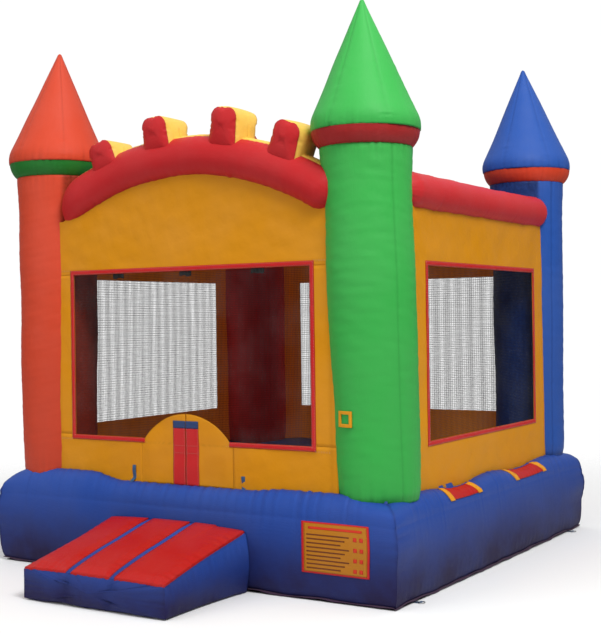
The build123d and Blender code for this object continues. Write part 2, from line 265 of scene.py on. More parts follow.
def pucker(along: Array, away: Array, pitch: float, depth: float, reach: float, seed: int) -> Array:
    """Small folds that run square to a seam and die out away from it.

    Args:
        along: Places along the seam.
        away: Distance of each place from the seam.
        pitch: Usual width of a fold.
        depth: How deep a fold is at the seam.
        reach: How far the folds run.
        seed: Which folds they are.

    Returns:
        The folds' height, at most about depth.
    """
    gather = 0.6 + 0.4 * ripple(along, 6 * pitch, seed + 1, 3)
    sharp = 1 - 2 * np.abs(np.sin(math.pi * along / pitch + 2 * ripple(along, 5 * pitch, seed + 2, 4)))
    soft = ripple(along, pitch, seed)
    return depth * gather * (0.55 * soft + 0.45 * sharp) * peak(np.maximum(away, 0), reach, 1.3)


def onto(points: Array, side: Side) -> Array:
    """Turn points made for the front side onto another side."""
    angle = side.value * math.pi / 2
    c, s = round(math.cos(angle)), round(math.sin(angle))
    out = points.copy()
    out[..., 0] = c * points[..., 0] - s * points[..., 1]
    out[..., 1] = s * points[..., 0] + c * points[..., 1]
    return out


def spread(*stops: float, step: float) -> Array:
    """Evenly spaced values through all the stops, none further apart than step."""
    runs = [
        np.linspace(a, b, max(2, math.ceil(abs(b - a) / step) + 1))[:-1]
        for a, b in zip(stops, stops[1:])
    ]
    return np.concatenate([*runs, [stops[-1]]])


# ---- Meshes ----


def mesh_object(
    name: str,
    points: Array,
    faces: list[Array],
    values: dict[str, Array] | None = None,
    flat: Array | None = None,
) -> bpy.types.Object:
    """A mesh object from points and faces.

    Args:
        name: The piece's name.
        points: One row for each vertex.
        faces: Arrays of faces, each with one row for each face.
        values: Point attributes by name.
        flat: The cloth's own coordinates at each vertex, kept as its UV map.

    Returns:
        The object, linked to the scene.
    """
    mesh = bpy.data.meshes.new(name)
    mesh.vertices.add(len(points))
    mesh.vertices.foreach_set("co", np.asarray(points, np.float32).ravel())
    corners = np.concatenate([f.ravel() for f in faces]).astype(np.int32)
    sizes = np.concatenate([np.full(len(f), f.shape[1]) for f in faces]).astype(np.int32)
    mesh.loops.add(len(corners))
    mesh.loops.foreach_set("vertex_index", corners)
    mesh.polygons.add(len(sizes))
    mesh.polygons.foreach_set("loop_start", np.concatenate([[0], np.cumsum(sizes)[:-1]]).astype(np.int32))
    mesh.polygons.foreach_set("use_smooth", np.ones(len(sizes), bool))
    mesh.update(calc_edges=True)
    for key, value in (values or {}).items():
        mesh.attributes.new(key, "FLOAT", "POINT").data.foreach_set("value", value.astype(np.float32).ravel())
    if flat is not None:
        layer = mesh.uv_layers.new(name="cloth")
        layer.data.foreach_set("uv", np.asarray(flat, np.float32)[corners].ravel())
    mesh.validate()
    piece = bpy.data.objects.new(name, mesh)
    bpy.context.scene.collection.objects.link(piece)
    return piece


def face_outwards(piece: bpy.types.Object) -> None:
    """Turn a closed mesh's faces outwards."""
    work = bmesh.new()
    work.from_mesh(piece.data)
    bmesh.ops.recalc_face_normals(work, faces=work.faces)
    work.to_mesh(piece.data)
    work.free()


def quads(rows: int, columns: int, closed: bool) -> Array:
    """Faces between neighbouring rows of points, with each row closed into a ring or not."""
    down, along = np.meshgrid(
        np.arange(rows - 1), np.arange(columns if closed else columns - 1), indexing="ij"
    )
    after = (along + 1) % columns
    corners = [down * columns + along, down * columns + after, (down + 1) * columns + after,
               (down + 1) * columns + along]
    return np.stack(corners, -1).reshape(-1, 4)


def border(rows: int, columns: int) -> Array:
    """The points round the edge of a grid, in order."""
    index = np.arange(rows * columns).reshape(rows, columns)
    return np.concatenate([index[0, :-1], index[:-1, -1], index[-1, :0:-1], index[:0:-1, 0]])


def slab(name: str, upper: Array, lower: Array, crease: Array) -> bpy.types.Object:
    """A closed piece between two grids of points.

    Args:
        name: The piece's name.
        upper: The outer grid's points.
        lower: The inner grid's points.
        crease: How deep each grid point lies in a crease.

    Returns:
        The object, with its faces outwards.
    """
    rows, columns = upper.shape[:2]
    count, rim, faces = rows * columns, border(rows, columns), quads(rows, columns, False)
    after = np.roll(rim, -1)
    sides = np.stack([rim, after, after + count, rim + count], -1)
    points = np.concatenate([upper.reshape(-1, 3), lower.reshape(-1, 3)])
    values = {"crease": np.tile(crease.ravel(), 2)}
    piece = mesh_object(name, points, [faces, faces + count, sides], values)
    face_outwards(piece)
    return piece


def creased(crease: Array) -> dict[str, Array]:
    """The crease attribute, kept between 0 and 1."""
    return {"crease": np.clip(crease, 0, 1)}


def thicken(piece: bpy.types.Object, thickness: float, offset: float = -1) -> bpy.types.Modifier:
    """Give a sheet its thickness, inwards from its outer face or to both sides."""
    shell = piece.modifiers.new("thickness", "SOLIDIFY")
    shell.thickness, shell.offset = thickness, offset
    return shell


def skin(
    name: str, rings: Array, values: dict[str, Array], poles: tuple[Array, Array] | None = None
) -> bpy.types.Object:
    """A closed skin over a row of rings, with a point closing each end.

    Args:
        name: The piece's name.
        rings: Points by ring, place round the ring, and axis.
        values: Point attributes by name, each shaped as the rings are.
        poles: The point before the first ring, and the one after the last, or none where the
            middles of those two rings will do.

    Returns:
        The object, with its faces outwards.
    """
    count, around = rings.shape[:2]
    poles = poles or (rings[0].mean(0), rings[-1].mean(0))
    points = np.concatenate([rings.reshape(-1, 3), np.array(poles)])
    ring = np.arange(around)
    after = (ring + 1) % around
    last = (count - 1) * around
    first_pole, last_pole = count * around, count * around + 1
    fans = np.concatenate([
        np.stack([np.full(around, first_pole), after, ring], -1),
        np.stack([np.full(around, last_pole), last + ring, last + after], -1),
    ])
    full = {
        key: np.concatenate(
            [value.ravel(), [value[0].mean(), value[-1].mean()]]
        ) for key, value in values.items()
    }
    piece = mesh_object(name, points, [quads(count, around, True), fans], full)
    face_outwards(piece)
    return piece


def cloth(
    name: str,
    side: Side,
    along: Array,
    height: Array,
    out: Array,
    thickness: float,
    keep: Array | None = None,
    values: dict[str, Array] | None = None,
) -> bpy.types.Object:
    """A sheet of cloth on one side of the house, as a shell of even thickness.

    Args:
        name: The piece's name.
        side: Which side it is on.
        along: Place along the side of each grid point.
        height: Height of each grid point.
        out: Distance of each grid point's outer face from the house's middle.
        thickness: The shell's thickness, which goes inwards.
        keep: Which grid cells have cloth, or all of them.
        values: Point attributes by name, each shaped as the grid is.

    Returns:
        The object. Its second material slot is the inner face's.
    """
    rows, columns = along.shape
    points = onto(np.stack([along, -out, height], -1), side).reshape(-1, 3)
    faces = quads(rows, columns, False)
    if keep is not None:
        faces = faces[keep.ravel()]
    used = np.unique(faces)
    index = np.full(rows * columns, -1)
    index[used] = np.arange(len(used))
    flat = np.stack([along, height], -1).reshape(-1, 2)[used]
    kept = {key: value.ravel()[used] for key, value in (values or {}).items()}
    piece = mesh_object(name, points[used], [index[faces]], kept, flat)
    outward = onto(np.array([0.0, -1.0, 0.0]), side)
    if piece.data.polygons[0].normal.dot(Vector(outward)) < 0:
        piece.data.flip_normals()
    thicken(piece, thickness).material_offset = 1
    return piece


def settle(piece: bpy.types.Object) -> bpy.types.Object:
    """Apply every modifier, so that the piece is a plain mesh."""
    bpy.context.view_layer.update()
    graph = bpy.context.evaluated_depsgraph_get()
    made = bpy.data.meshes.new_from_object(
        piece.evaluated_get(graph), preserve_all_data_layers=True, depsgraph=graph
    )
    piece.modifiers.clear()
    old = piece.data
    piece.data = made
    made.name = piece.name
    bpy.data.meshes.remove(old)
    return piece


def fill_with_air(piece: bpy.types.Object, pressure: float, cap: float, frames: int = 20) -> None:
    """Blow up a closed padded piece as cloth, holding every point near where it started.

    Args:
        piece: The piece, whose mesh is changed.
        pressure: How hard the air pushes.
        cap: How far a point may end up from its place.
        frames: How many frames the air is given.
    """
    start = np.empty(len(piece.data.vertices) * 3)
    piece.data.vertices.foreach_get("co", start)
    scene = bpy.context.scene
    air = piece.modifiers.new("air", "CLOTH")
    air.settings.quality = 6
    air.settings.mass = 0.5
    air.settings.tension_stiffness = air.settings.compression_stiffness = 25
    air.settings.shear_stiffness = 10
    air.settings.bending_stiffness = 1.5
    air.settings.use_pressure = True
    air.settings.uniform_pressure_force = pressure
    air.settings.effector_weights.gravity = 0
    air.point_cache.frame_end = frames
    for number in range(1, frames + 1):
        scene.frame_set(number)
    blown = piece.evaluated_get(bpy.context.evaluated_depsgraph_get()).data
    end = np.empty_like(start)
    blown.vertices.foreach_get("co", end)
    piece.modifiers.remove(air)
    scene.frame_set(1)
    move = (end - start).reshape(-1, 3)
    length = np.linalg.norm(move, axis=1, keepdims=True)
    move *= np.minimum(1, cap / np.maximum(length, 1e-9))
    piece.data.vertices.foreach_set("co", (start.reshape(-1, 3) + move).ravel())
    piece.data.update()


# ---- Shader groups ----


@dataclass
class Nodes:
    """A short way to add and join shader nodes in one tree."""

    tree: bpy.types.NodeTree

    def add(self, kind: str, **settings: object) -> bpy.types.Node:
        """Add a node.

        Args:
            kind: The node's type.
            settings: Its properties by name.

        Returns:
            The node.
        """
        node = self.tree.nodes.new(kind)
        for key, value in settings.items():
            setattr(node, key, value)
        return node

    def feed(self, target: bpy.types.NodeSocket, source: object) -> None:
        """Join a socket to the target, or set the target to a plain value."""
        if isinstance(source, bpy.types.NodeSocket):
            self.tree.links.new(source, target)
        elif isinstance(source, tuple) and len(source) == 3 and target.type == "RGBA":
            target.default_value = (*source, 1.0)
        else:
            target.default_value = source

    def object_place(self) -> bpy.types.NodeSocket:
        """Places in the piece's own axes."""
        return self.add("ShaderNodeTexCoord").outputs["Object"]

    def attribute(self, name: str) -> bpy.types.NodeSocket:
        """A point attribute of the piece."""
        return self.add("ShaderNodeAttribute", attribute_name=name).outputs["Fac"]

    def bump(self, shader: bpy.types.Node, height: object, distance: float, strength: float = 1.0) -> None:
        """Raise a shader's surface by a height field."""
        relief = self.add("ShaderNodeBump")
        relief.inputs["Strength"].default_value = strength
        relief.inputs["Distance"].default_value = distance
        self.feed(relief.inputs["Height"], height)
        self.feed(shader.inputs["Normal"], relief.outputs[0])

    def maths(self, operation: str, *inputs: object, clamp: bool = False) -> bpy.types.NodeSocket:
        """Work out one number from others."""
        node = self.add("ShaderNodeMath", operation=operation, use_clamp=clamp)
        for target, source in zip(node.inputs, inputs):
            self.feed(target, source)
        return node.outputs[0]

    def mix(self, share: object, first: object, second: object) -> bpy.types.NodeSocket:
        """Blend two colours."""
        node = self.add("ShaderNodeMix", data_type="RGBA", clamp_factor=True)
        for target, source in zip((node.inputs[0], node.inputs[6], node.inputs[7]), (share, first, second)):
            self.feed(target, source)
        return node.outputs[2]

    def noise(
        self, vector: object, scale: object, detail: float, roughness: float = 0.5
    ) -> bpy.types.NodeSocket:
        """An uneven field in space, from 0 to 1."""
        node = self.add("ShaderNodeTexNoise")
        self.feed(node.inputs["Vector"], vector)
        self.feed(node.inputs["Scale"], scale)
        node.inputs["Detail"].default_value = detail
        node.inputs["Roughness"].default_value = roughness
        return node.outputs["Fac"]

    def ramp(
        self, value: object, low: float, high: float, to_low: float = 0.0, to_high: float = 1.0
    ) -> bpy.types.NodeSocket:
        """Carry a value smoothly from one range to another."""
        node = self.add("ShaderNodeMapRange", interpolation_type="SMOOTHSTEP")
        for target, source in zip(node.inputs, (value, low, high, to_low, to_high)):
            self.feed(target, source)
        return node.outputs[0]


def shader_group(
    name: str, inputs: dict[str, tuple[str, object]], outputs: dict[str, str], fill: Callable[..., None]
) -> bpy.types.NodeTree:
    """A shader node group with named sockets.

    Args:
        name: The group's name.
        inputs: Socket type and usual value of each input.
        outputs: Socket type of each output.
        fill: Adds the nodes, given the tree's Nodes, its inputs and its output node.

    Returns:
        The group.
    """
    tree = bpy.data.node_groups.new(name, "ShaderNodeTree")
    for key, (kind, value) in inputs.items():
        socket = tree.interface.new_socket(key, in_out="INPUT", socket_type=kind)
        if value is not None:
            socket.default_value = value
    for key, kind in outputs.items():
        tree.interface.new_socket(key, in_out="OUTPUT", socket_type=kind)
    nodes = Nodes(tree)
    fill(nodes, nodes.add("NodeGroupInput").outputs, nodes.add("NodeGroupOutput").inputs)
    return tree


def fill_weave(nodes: Nodes, given: bpy.types.NodeInputs, out: bpy.types.NodeOutputs) -> None:
    """Crossed threads under the coating, with soft slack in the cloth."""
    split = nodes.add("ShaderNodeSeparateXYZ")
    nodes.feed(split.inputs[0], given["Vector"])
    rate = nodes.maths("DIVIDE", TAU, given["Pitch"])
    threads = [nodes.maths("SINE", nodes.maths("MULTIPLY", axis, rate)) for axis in split.outputs]
    weave = nodes.maths("ADD", nodes.maths("ADD", threads[0], threads[1]), threads[2])
    slack = nodes.noise(given["Vector"], 5.5, 3.0, 0.55)
    crease = nodes.noise(given["Vector"], 21.0, 2.0, 0.5)
    rough = nodes.maths(
        "MULTIPLY_ADD", slack, given["Slack"], nodes.maths("MULTIPLY", weave, given["Thread"])
    )
    nodes.feed(
        out["Height"],
        nodes.maths("MULTIPLY_ADD", crease, nodes.maths("MULTIPLY", given["Slack"], 0.3), rough)
    )
    nodes.feed(out["Thread"], nodes.maths("MULTIPLY_ADD", weave, 0.16, 0.5))


def fill_weathering(nodes: Nodes, given: bpy.types.NodeInputs, out: bpy.types.NodeOutputs) -> None:
    """Uneven fading and dust specks, with painted shade near the ground and painted shade in creases and
    along seams.
    """
    fading = nodes.noise(given["Vector"], 1.7, 4.0, 0.6)
    speck = nodes.noise(given["Vector"], 46.0, 4.0, 0.65)
    split = nodes.add("ShaderNodeSeparateXYZ")
    nodes.feed(split.inputs[0], given["Vector"])
    # Painted shade near the ground: low down the colour darkens toward the shade colour, and the cloth is a
    # little rougher there.
    low = nodes.ramp(split.outputs[2], 0.0, given["Soil height"], 1.0, 0.0)
    soil = nodes.maths(
        "MULTIPLY", nodes.maths("MULTIPLY", low, given["Soil"]), nodes.ramp(fading, 0.2, 0.75, 0.75, 1.1)
    )
    tone = nodes.ramp(fading, 0.3, 0.7, 0.0, given["Fading"])
    faded = nodes.mix(tone, given["Colour"], given["Faded"])
    ground_shaded = nodes.mix(soil, faded, given["Shade"])
    # Painted shade in creases, folds and along seams, where the crease attribute is high.
    crease = nodes.maths("MULTIPLY", given["Crease"], nodes.ramp(speck, 0.25, 0.7, 0.7, 1.0))
    creased = nodes.mix(crease, ground_shaded, given["Shade"])
    dust = nodes.maths("MULTIPLY", nodes.ramp(speck, 0.56, 0.8), 0.10)
    nodes.feed(out["Colour"], nodes.mix(dust, creased, given["Faded"]))
    rough = nodes.maths("MULTIPLY_ADD", speck, 0.16, given["Roughness"])
    nodes.feed(out["Roughness"], nodes.maths("MULTIPLY_ADD", soil, 0.18, rough))


def fill_net(nodes: Nodes, given: bpy.types.NodeInputs, out: bpy.types.NodeOutputs) -> None:
    """Square openings between the net's threads, drawn in the cloth's own coordinates."""
    split = nodes.add("ShaderNodeSeparateXYZ")
    nodes.feed(split.inputs[0], given["Vector"])
    covered = []
    for axis in split.outputs[:2]:
        place = nodes.maths("FRACT", nodes.maths("DIVIDE", axis, given["Pitch"]))
        covered.append(nodes.maths("LESS_THAN", place, given["Thread"]))
    strings = nodes.maths("MAXIMUM", *covered)
    pull = nodes.maths(
        "SINE", nodes.maths("MULTIPLY", split.outputs[0], nodes.maths("DIVIDE", TAU, given["Band"]))
    )
    band = nodes.maths("MULTIPLY", nodes.maths("MULTIPLY_ADD", pull, 0.5, 0.5), given["Band depth"])
    nodes.feed(out["Alpha"], nodes.maths("ADD", strings, band, clamp=True))
    nodes.feed(out["Height"], strings)


class Effects:
    """The shader groups that several materials share."""

    def __init__(self) -> None:
        """Build each group once."""
        vector, number, colour = "NodeSocketVector", "NodeSocketFloat", "NodeSocketColor"
        self.weave = shader_group(
            "Crossed threads",
            {
                "Vector": (vector, None), "Pitch": (number, 0.003), "Thread": (number, 0.1),
                "Slack": (number, 1.0)
            },
            {"Height": number, "Thread": number},
            fill_weave,
        )
        self.weathering = shader_group(
            "Weathering",
            {"Vector": (vector, None), "Colour": (colour, None), "Faded": (colour, None),
             "Shade": (colour, None), "Fading": (
                 number, 0.5
             ), "Soil": (number, 0.3), "Soil height": (number, 0.4),
             "Crease": (number, 0.0), "Roughness": (number, 0.4)},
            {"Colour": colour, "Roughness": number},
            fill_weathering,
        )
        self.net = shader_group(
            "Net openings",
            {"Vector": (vector, None), "Pitch": (number, 0.014), "Thread": (number, 0.14),
             "Band": (number, 0.09), "Band depth": (number, 0.1)},
            {"Alpha": number, "Height": number},
            fill_net,
        )

    def place(self, nodes: Nodes, group: bpy.types.NodeTree, **values: object) -> bpy.types.NodeOutputs:
        """Put a group into a material.

        Args:
            nodes: The material's nodes.
            group: Which group.
            values: Its inputs, with underscores for spaces.

        Returns:
            The group's outputs.
        """
        node = nodes.add("ShaderNodeGroup", node_tree=group)
        for key, value in values.items():
            nodes.feed(node.inputs[key.replace("_", " ")], value)
        return node.outputs


# ---- Finishes ----


def paint(red: int, green: int, blue: int) -> Colour:
    """A colour from its red, green and blue shares of 255, as a shader takes it."""
    return tuple(
        share / 12.92 if share <= 0.04045 else ((share + 0.055) / 1.055) ** 2.4
        for share in (red / 255, green / 255, blue / 255)
    )


def toned(colour: Colour, share: float, toward: Colour = (0.0, 0.0, 0.0)) -> Colour:
    """A colour carried part of the way toward another."""
    return tuple(a + (b - a) * share for a, b in zip(colour, toward))


def new_material(name: str) -> tuple[bpy.types.Material, Nodes, bpy.types.Node]:
    """A material with a Principled shader, its nodes, and that shader."""
    material = bpy.data.materials.new(name)
    material.use_nodes = True
    nodes = Nodes(material.node_tree)
    return material, nodes, material.node_tree.nodes["Principled BSDF"]


FADING = (0.05, (0.8, 0.8, 0.8))


@dataclass(frozen=True)
class Finish:
    """A material, named after its finish."""

    name: str
    colour: Colour

    def make(self, effects: Effects) -> bpy.types.Material:
        """Build the material.

        Args:
            effects: The shared shader groups.

        Returns:
            The material.
        """
        material, nodes, shader = new_material(self.name)
        self.fill(nodes, shader, effects)
        return material

    def fill(self, nodes: Nodes, shader: bpy.types.Node, effects: Effects) -> None:
        """Add the finish's own nodes."""
        raise NotImplementedError


@dataclass(frozen=True)
class Vinyl(Finish):
    """Coated woven vinyl, in one colour or in two that meet along a sewn edge.

    The piece may carry two point attributes: crease, from 0 to 1, where the cloth is pinched or
    shaded by its seams and gets painted shade, and tone, which is above 0 where the second colour
    lies. Low down the colour also darkens with painted shade. Where a finish glows, the glow is
    painted light: an emission that stands in for daylight coming through the cloth from behind.
    """

    second: Colour | None = None
    # Painted shade near the ground: how strongly, and up to what height, the colour darkens toward the shade
    # colour.
    soil: float = 0.2
    soil_height: float = 0.5
    shade: float = 0.72
    tint: Colour = (0.0, 0.0, 0.0)
    roughness: float = 0.34
    slack: float = 1.0
    fading: float = 0.35
    bump: float = 0.006
    daylit: Colour = (0.0, 0.0, 0.0)

    def fill(self, nodes: Nodes, shader: bpy.types.Node, effects: Effects) -> None:
        """Add the finish's own nodes."""
        place = nodes.object_place()
        # The crease attribute drives the painted shade in creases, folds and seams.
        crease = nodes.attribute("crease")
        colour, faded = self.colour, toned(self.colour, *FADING)
        shade = toned(self.colour, self.shade, self.tint)
        if self.second is not None:
            tone = nodes.attribute("tone")
            over = nodes.maths("GREATER_THAN", tone, 0.0)
            colour = nodes.mix(over, colour, self.second)
            faded = nodes.mix(over, faded, toned(self.second, *FADING))
            shade = nodes.mix(over, shade, toned(self.second, self.shade, self.tint))
        worn_and_shaded = effects.place(
            nodes, effects.weathering, Vector=place, Colour=colour, Faded=faded, Shade=shade,
            Fading=self.fading, Soil=self.soil, Soil_height=self.soil_height, Crease=crease,
            Roughness=self.roughness,
        )
        weave = effects.place(
            nodes, effects.weave, Vector=place, Pitch=0.0034, Thread=0.035, Slack=self.slack
        )
        nodes.feed(shader.inputs["Base Color"], worn_and_shaded["Colour"])
        nodes.feed(shader.inputs["Roughness"], worn_and_shaded["Roughness"])
        for key, value in (("Coat Weight", 0.03), ("Coat Roughness", 0.35), ("Specular IOR Level", 0.15)):
            shader.inputs[key].default_value = value
        # Painted glow: an emission that stands in for daylight shining through the cloth from behind.
        if any(self.daylit):
            shader.inputs["Emission Color"].default_value = (*self.daylit, 1.0)
            shader.inputs["Emission Strength"].default_value = 1.0
        nodes.bump(shader, weave["Height"], self.bump, 0.6)


@dataclass(frozen=True)
class Webbing(Finish):
    """Woven strap, tape or thread with a ribbed face."""

    pitch: float = 0.003
    roughness: float = 0.7
    ribs: float = 1.0

    def fill(self, nodes: Nodes, shader: bpy.types.Node, effects: Effects) -> None:
        """Add the finish's own nodes."""
        place = nodes.object_place()
        crease = nodes.attribute("crease")
        worn_and_shaded = effects.place(
            nodes, effects.weathering, Vector=place, Colour=self.colour, Faded=toned(
                self.colour, 0.05, (0.7, 0.7, 0.7)
            ),
            Shade=toned(
                self.colour, 0.6
            ), Fading=0.6, Soil=0.25, Soil_height=0.3, Crease=crease, Roughness=self.roughness,
        )
        weave = effects.place(
            nodes, effects.weave, Vector=place, Pitch=self.pitch, Thread=0.3 * self.ribs, Slack=0.4
        )
        ribbed = nodes.mix(
            nodes.ramp(weave["Thread"], 0.2, 0.8, 0.25, 0.0), worn_and_shaded["Colour"], toned(self.colour, 0.7)
        )
        nodes.feed(shader.inputs["Base Color"], ribbed)
        nodes.feed(shader.inputs["Roughness"], worn_and_shaded["Roughness"])
        shader.inputs["Sheen Weight"].default_value = 0.05
        nodes.bump(shader, weave["Height"], 0.0012)


@dataclass(frozen=True)
class Net(Finish):
    """Knotless net with square openings, on the cloth's own coordinates."""

    pitch: float = 0.0140
    thread: float = 0.125
    band: float = 0.105
    band_depth: float = 0.10

    def fill(self, nodes: Nodes, shader: bpy.types.Node, effects: Effects) -> None:
        """Add the finish's own nodes."""
        flat = nodes.add("ShaderNodeUVMap", uv_map="cloth").outputs[0]
        place = nodes.object_place()
        holes = effects.place(
            nodes, effects.net, Vector=flat, Pitch=self.pitch, Thread=self.thread, Band=self.band,
            Band_depth=self.band_depth,
        )
        tone = nodes.ramp(nodes.noise(place, 3.0, 3.0), 0.3, 0.7)
        nodes.feed(
            shader.inputs["Base Color"],
            nodes.mix(tone, self.colour, toned(self.colour, 0.05, (1.0, 1.0, 1.0)))
        )
        nodes.feed(shader.inputs["Alpha"], holes["Alpha"])
        shader.inputs["Roughness"].default_value = 0.6
        shader.inputs["Specular IOR Level"].default_value = 0.1
        nodes.bump(shader, holes["Height"], 0.001)


@dataclass(frozen=True)
class Metal(Finish):
    """Plated steel with fine scratches and dull patches."""

    def fill(self, nodes: Nodes, shader: bpy.types.Node, effects: Effects) -> None:
        """Add the finish's own nodes."""
        place = nodes.object_place()
        worn_and_shaded = effects.place(
            nodes, effects.weathering, Vector=place, Colour=self.colour, Faded=toned(
                self.colour, 0.4, (0.3, 0.2, 0.12)
            ),
            Shade=toned(self.colour, 0.6), Fading=0.6, Soil=0.3, Soil_height=0.1, Roughness=0.28,
        )
        nodes.feed(shader.inputs["Base Color"], worn_and_shaded["Colour"])
        nodes.feed(shader.inputs["Roughness"], worn_and_shaded["Roughness"])
        shader.inputs["Metallic"].default_value = 1.0
        nodes.bump(shader, nodes.noise(place, 900.0, 2.0), 0.0004)


BLUE, ORANGE, GREEN = paint(34, 74, 160), paint(216, 72, 42), paint(60, 178, 78)
RED, YELLOW, DEEP_GREEN = paint(196, 34, 38), paint(216, 142, 2), paint(30, 118, 40)
PALE_YELLOW = paint(250, 200, 88)
PURPLE_SHADE = (0.012, 0.004, 0.030)
FINISHES = {look.name: look for look in (
    # The ground-shade settings paint shade on the lower parts; shade and tint give the painted shade colour.
    Vinyl("base_blue", BLUE, soil=1.0, soil_height=0.84, shade=0.95, tint=PURPLE_SHADE),
    Vinyl("step_blue", BLUE, soil=1.0, soil_height=0.50, shade=0.93, tint=PURPLE_SHADE),
    Vinyl("step_red", paint(182, 20, 15), soil=0.0, slack=1.2),
    Vinyl("tower_orange", ORANGE, soil=0.35, soil_height=3.6, shade=0.80, tint=(0.02, 0.0, 0.0)),
    Vinyl("tower_green", GREEN, soil=0.40, soil_height=3.6, shade=0.6, tint=(0.0, 0.03, 0.0)),
    Vinyl("tower_blue", paint(42, 88, 174), soil=0.30, soil_height=3.6, shade=0.92, tint=(0.0, 0.0, 0.02)),
    # The rear left tower's red gets a faint painted glow.
    Vinyl("tower_red", paint(176, 26, 26), shade=0.75, tint=(0.02, 0.0, 0.0), daylit=(0.028, 0.0, 0.0)),
    Vinyl("collar_green", DEEP_GREEN, shade=0.6),
    Vinyl("collar_red", paint(168, 36, 36), shade=0.65),
    Vinyl("collar_orange", paint(216, 66, 34), shade=0.5),
    Vinyl("collar_yellow", YELLOW, shade=0.6),
    Vinyl("crown", RED, second=PALE_YELLOW, shade=0.6, tint=(0.03, 0.0, 0.0)),
    Vinyl("beam_red", paint(206, 40, 44), shade=0.7, tint=(0.03, 0.0, 0.0)),
    Vinyl(
        "wall_yellow", YELLOW, soil=0.35, soil_height=1.7, shade=0.55, tint=(0.1, 0.03, 0.0),
        roughness=0.42, slack=1.6
    ),
    # Painted shade: a darker, browner copy of the wall yellow for the inner faces of the walls and door
    # leaves, with a painted glow.
    Vinyl(
        "wall_inside", toned(YELLOW, 0.30, (0.16, 0.02, 0.0)), roughness=0.6, slack=1.6,
        daylit=(0.095, 0.017, 0.0)
    ),
    Vinyl(
        "door_yellow", YELLOW, soil=0.30, soil_height=1.7, shade=0.55, tint=(0.1, 0.03, 0.0),
        roughness=0.42, slack=1.2
    ),
    Vinyl("roof_blue", paint(34, 66, 140), shade=0.7, slack=1.4),
    Vinyl("ground_black", paint(30, 30, 33), soil=0.4, roughness=0.6),
    Vinyl("red_tape", paint(198, 30, 32), shade=0.6, roughness=0.4, slack=0.6),
    Vinyl("blue_cap", paint(44, 66, 112), shade=0.6, roughness=0.5, slack=0.6),
    Vinyl("yellow_edge", paint(226, 152, 20), shade=0.6, slack=0.6),
    Vinyl("label_face", paint(178, 112, 10), shade=0.6, slack=0.4),
    Vinyl("label_rows", paint(112, 52, 14), shade=0.6, slack=0.4),
    Vinyl("label_marks", paint(206, 48, 22), shade=0.6, slack=0.4),
    Webbing("black_strap", paint(26, 26, 28)),
    Webbing("navy_strap", paint(44, 88, 132)),
    Webbing("seam_binding", paint(58, 20, 60), pitch=0.005),
    Webbing("thread", paint(206, 176, 150), pitch=0.002, ribs=0.5),
    Webbing("zip_tape", paint(24, 24, 27), pitch=0.002),
    Webbing("zip_teeth", paint(38, 38, 42), pitch=0.004, roughness=0.35, ribs=0.2),
    Net("net_black", paint(20, 18, 20)),
    # Painted light: a grey, lighter copy of the black net for the far windows, seen against the bright sky.
    Net("net_pale", paint(90, 90, 92), pitch=0.023, band=0.13, band_depth=0.30, thread=0.12),
    Metal("zinc", (0.62, 0.63, 0.64)),
)}


class Wardrobe:
    """Makes each finish once and dresses the pieces in it."""

    def __init__(self) -> None:
        """Start with the shader groups and no materials."""
        self.effects = Effects()
        self.made: dict[str, bpy.types.Material] = {}

    def cloth(self, name: str) -> bpy.types.Material:
        """The material for a finish."""
        if name not in self.made:
            self.made[name] = FINISHES[name].make(self.effects)
        return self.made[name]

    def dress(self, piece: bpy.types.Object, *names: str) -> bpy.types.Object:
        """Give a piece its materials, one for each material slot.

        Args:
            piece: The piece.
            names: Its finishes in order.

        Returns:
            The piece.
        """
        piece.data.materials.clear()
        for name in names:
            piece.data.materials.append(self.cloth(name))
        return piece


WARDROBE = Wardrobe()


def finish(
    piece: bpy.types.Object,
    slot: str,
    *finishes: str,
    body: str | None = HOUSE,
    replaces: tuple[str, ...] = (),
    padded: float | None = None,
) -> bpy.types.Object:
    """Dress a piece, put it on its body and hide the frame's nodes that it stands for.

    Args:
        piece: The piece, with its mesh finished.
        slot: The record's material slot. Not used.
        finishes: Its materials in order.
        body: The body it rides on, or None, where it is put on no body.
        replaces: The frame's nodes that it stands for.
        padded: How full it is, where it is an air-filled piece. Not used.

    Returns:
        The piece.
    """
    WARDROBE.dress(piece, *finishes)
    settle(piece)
    if body is not None:
        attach(piece, body)
    if replaces:
        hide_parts(*replaces)
    log.info("%s: %d faces", piece.name, len(piece.data.polygons))
    return piece


# ---- Base ----


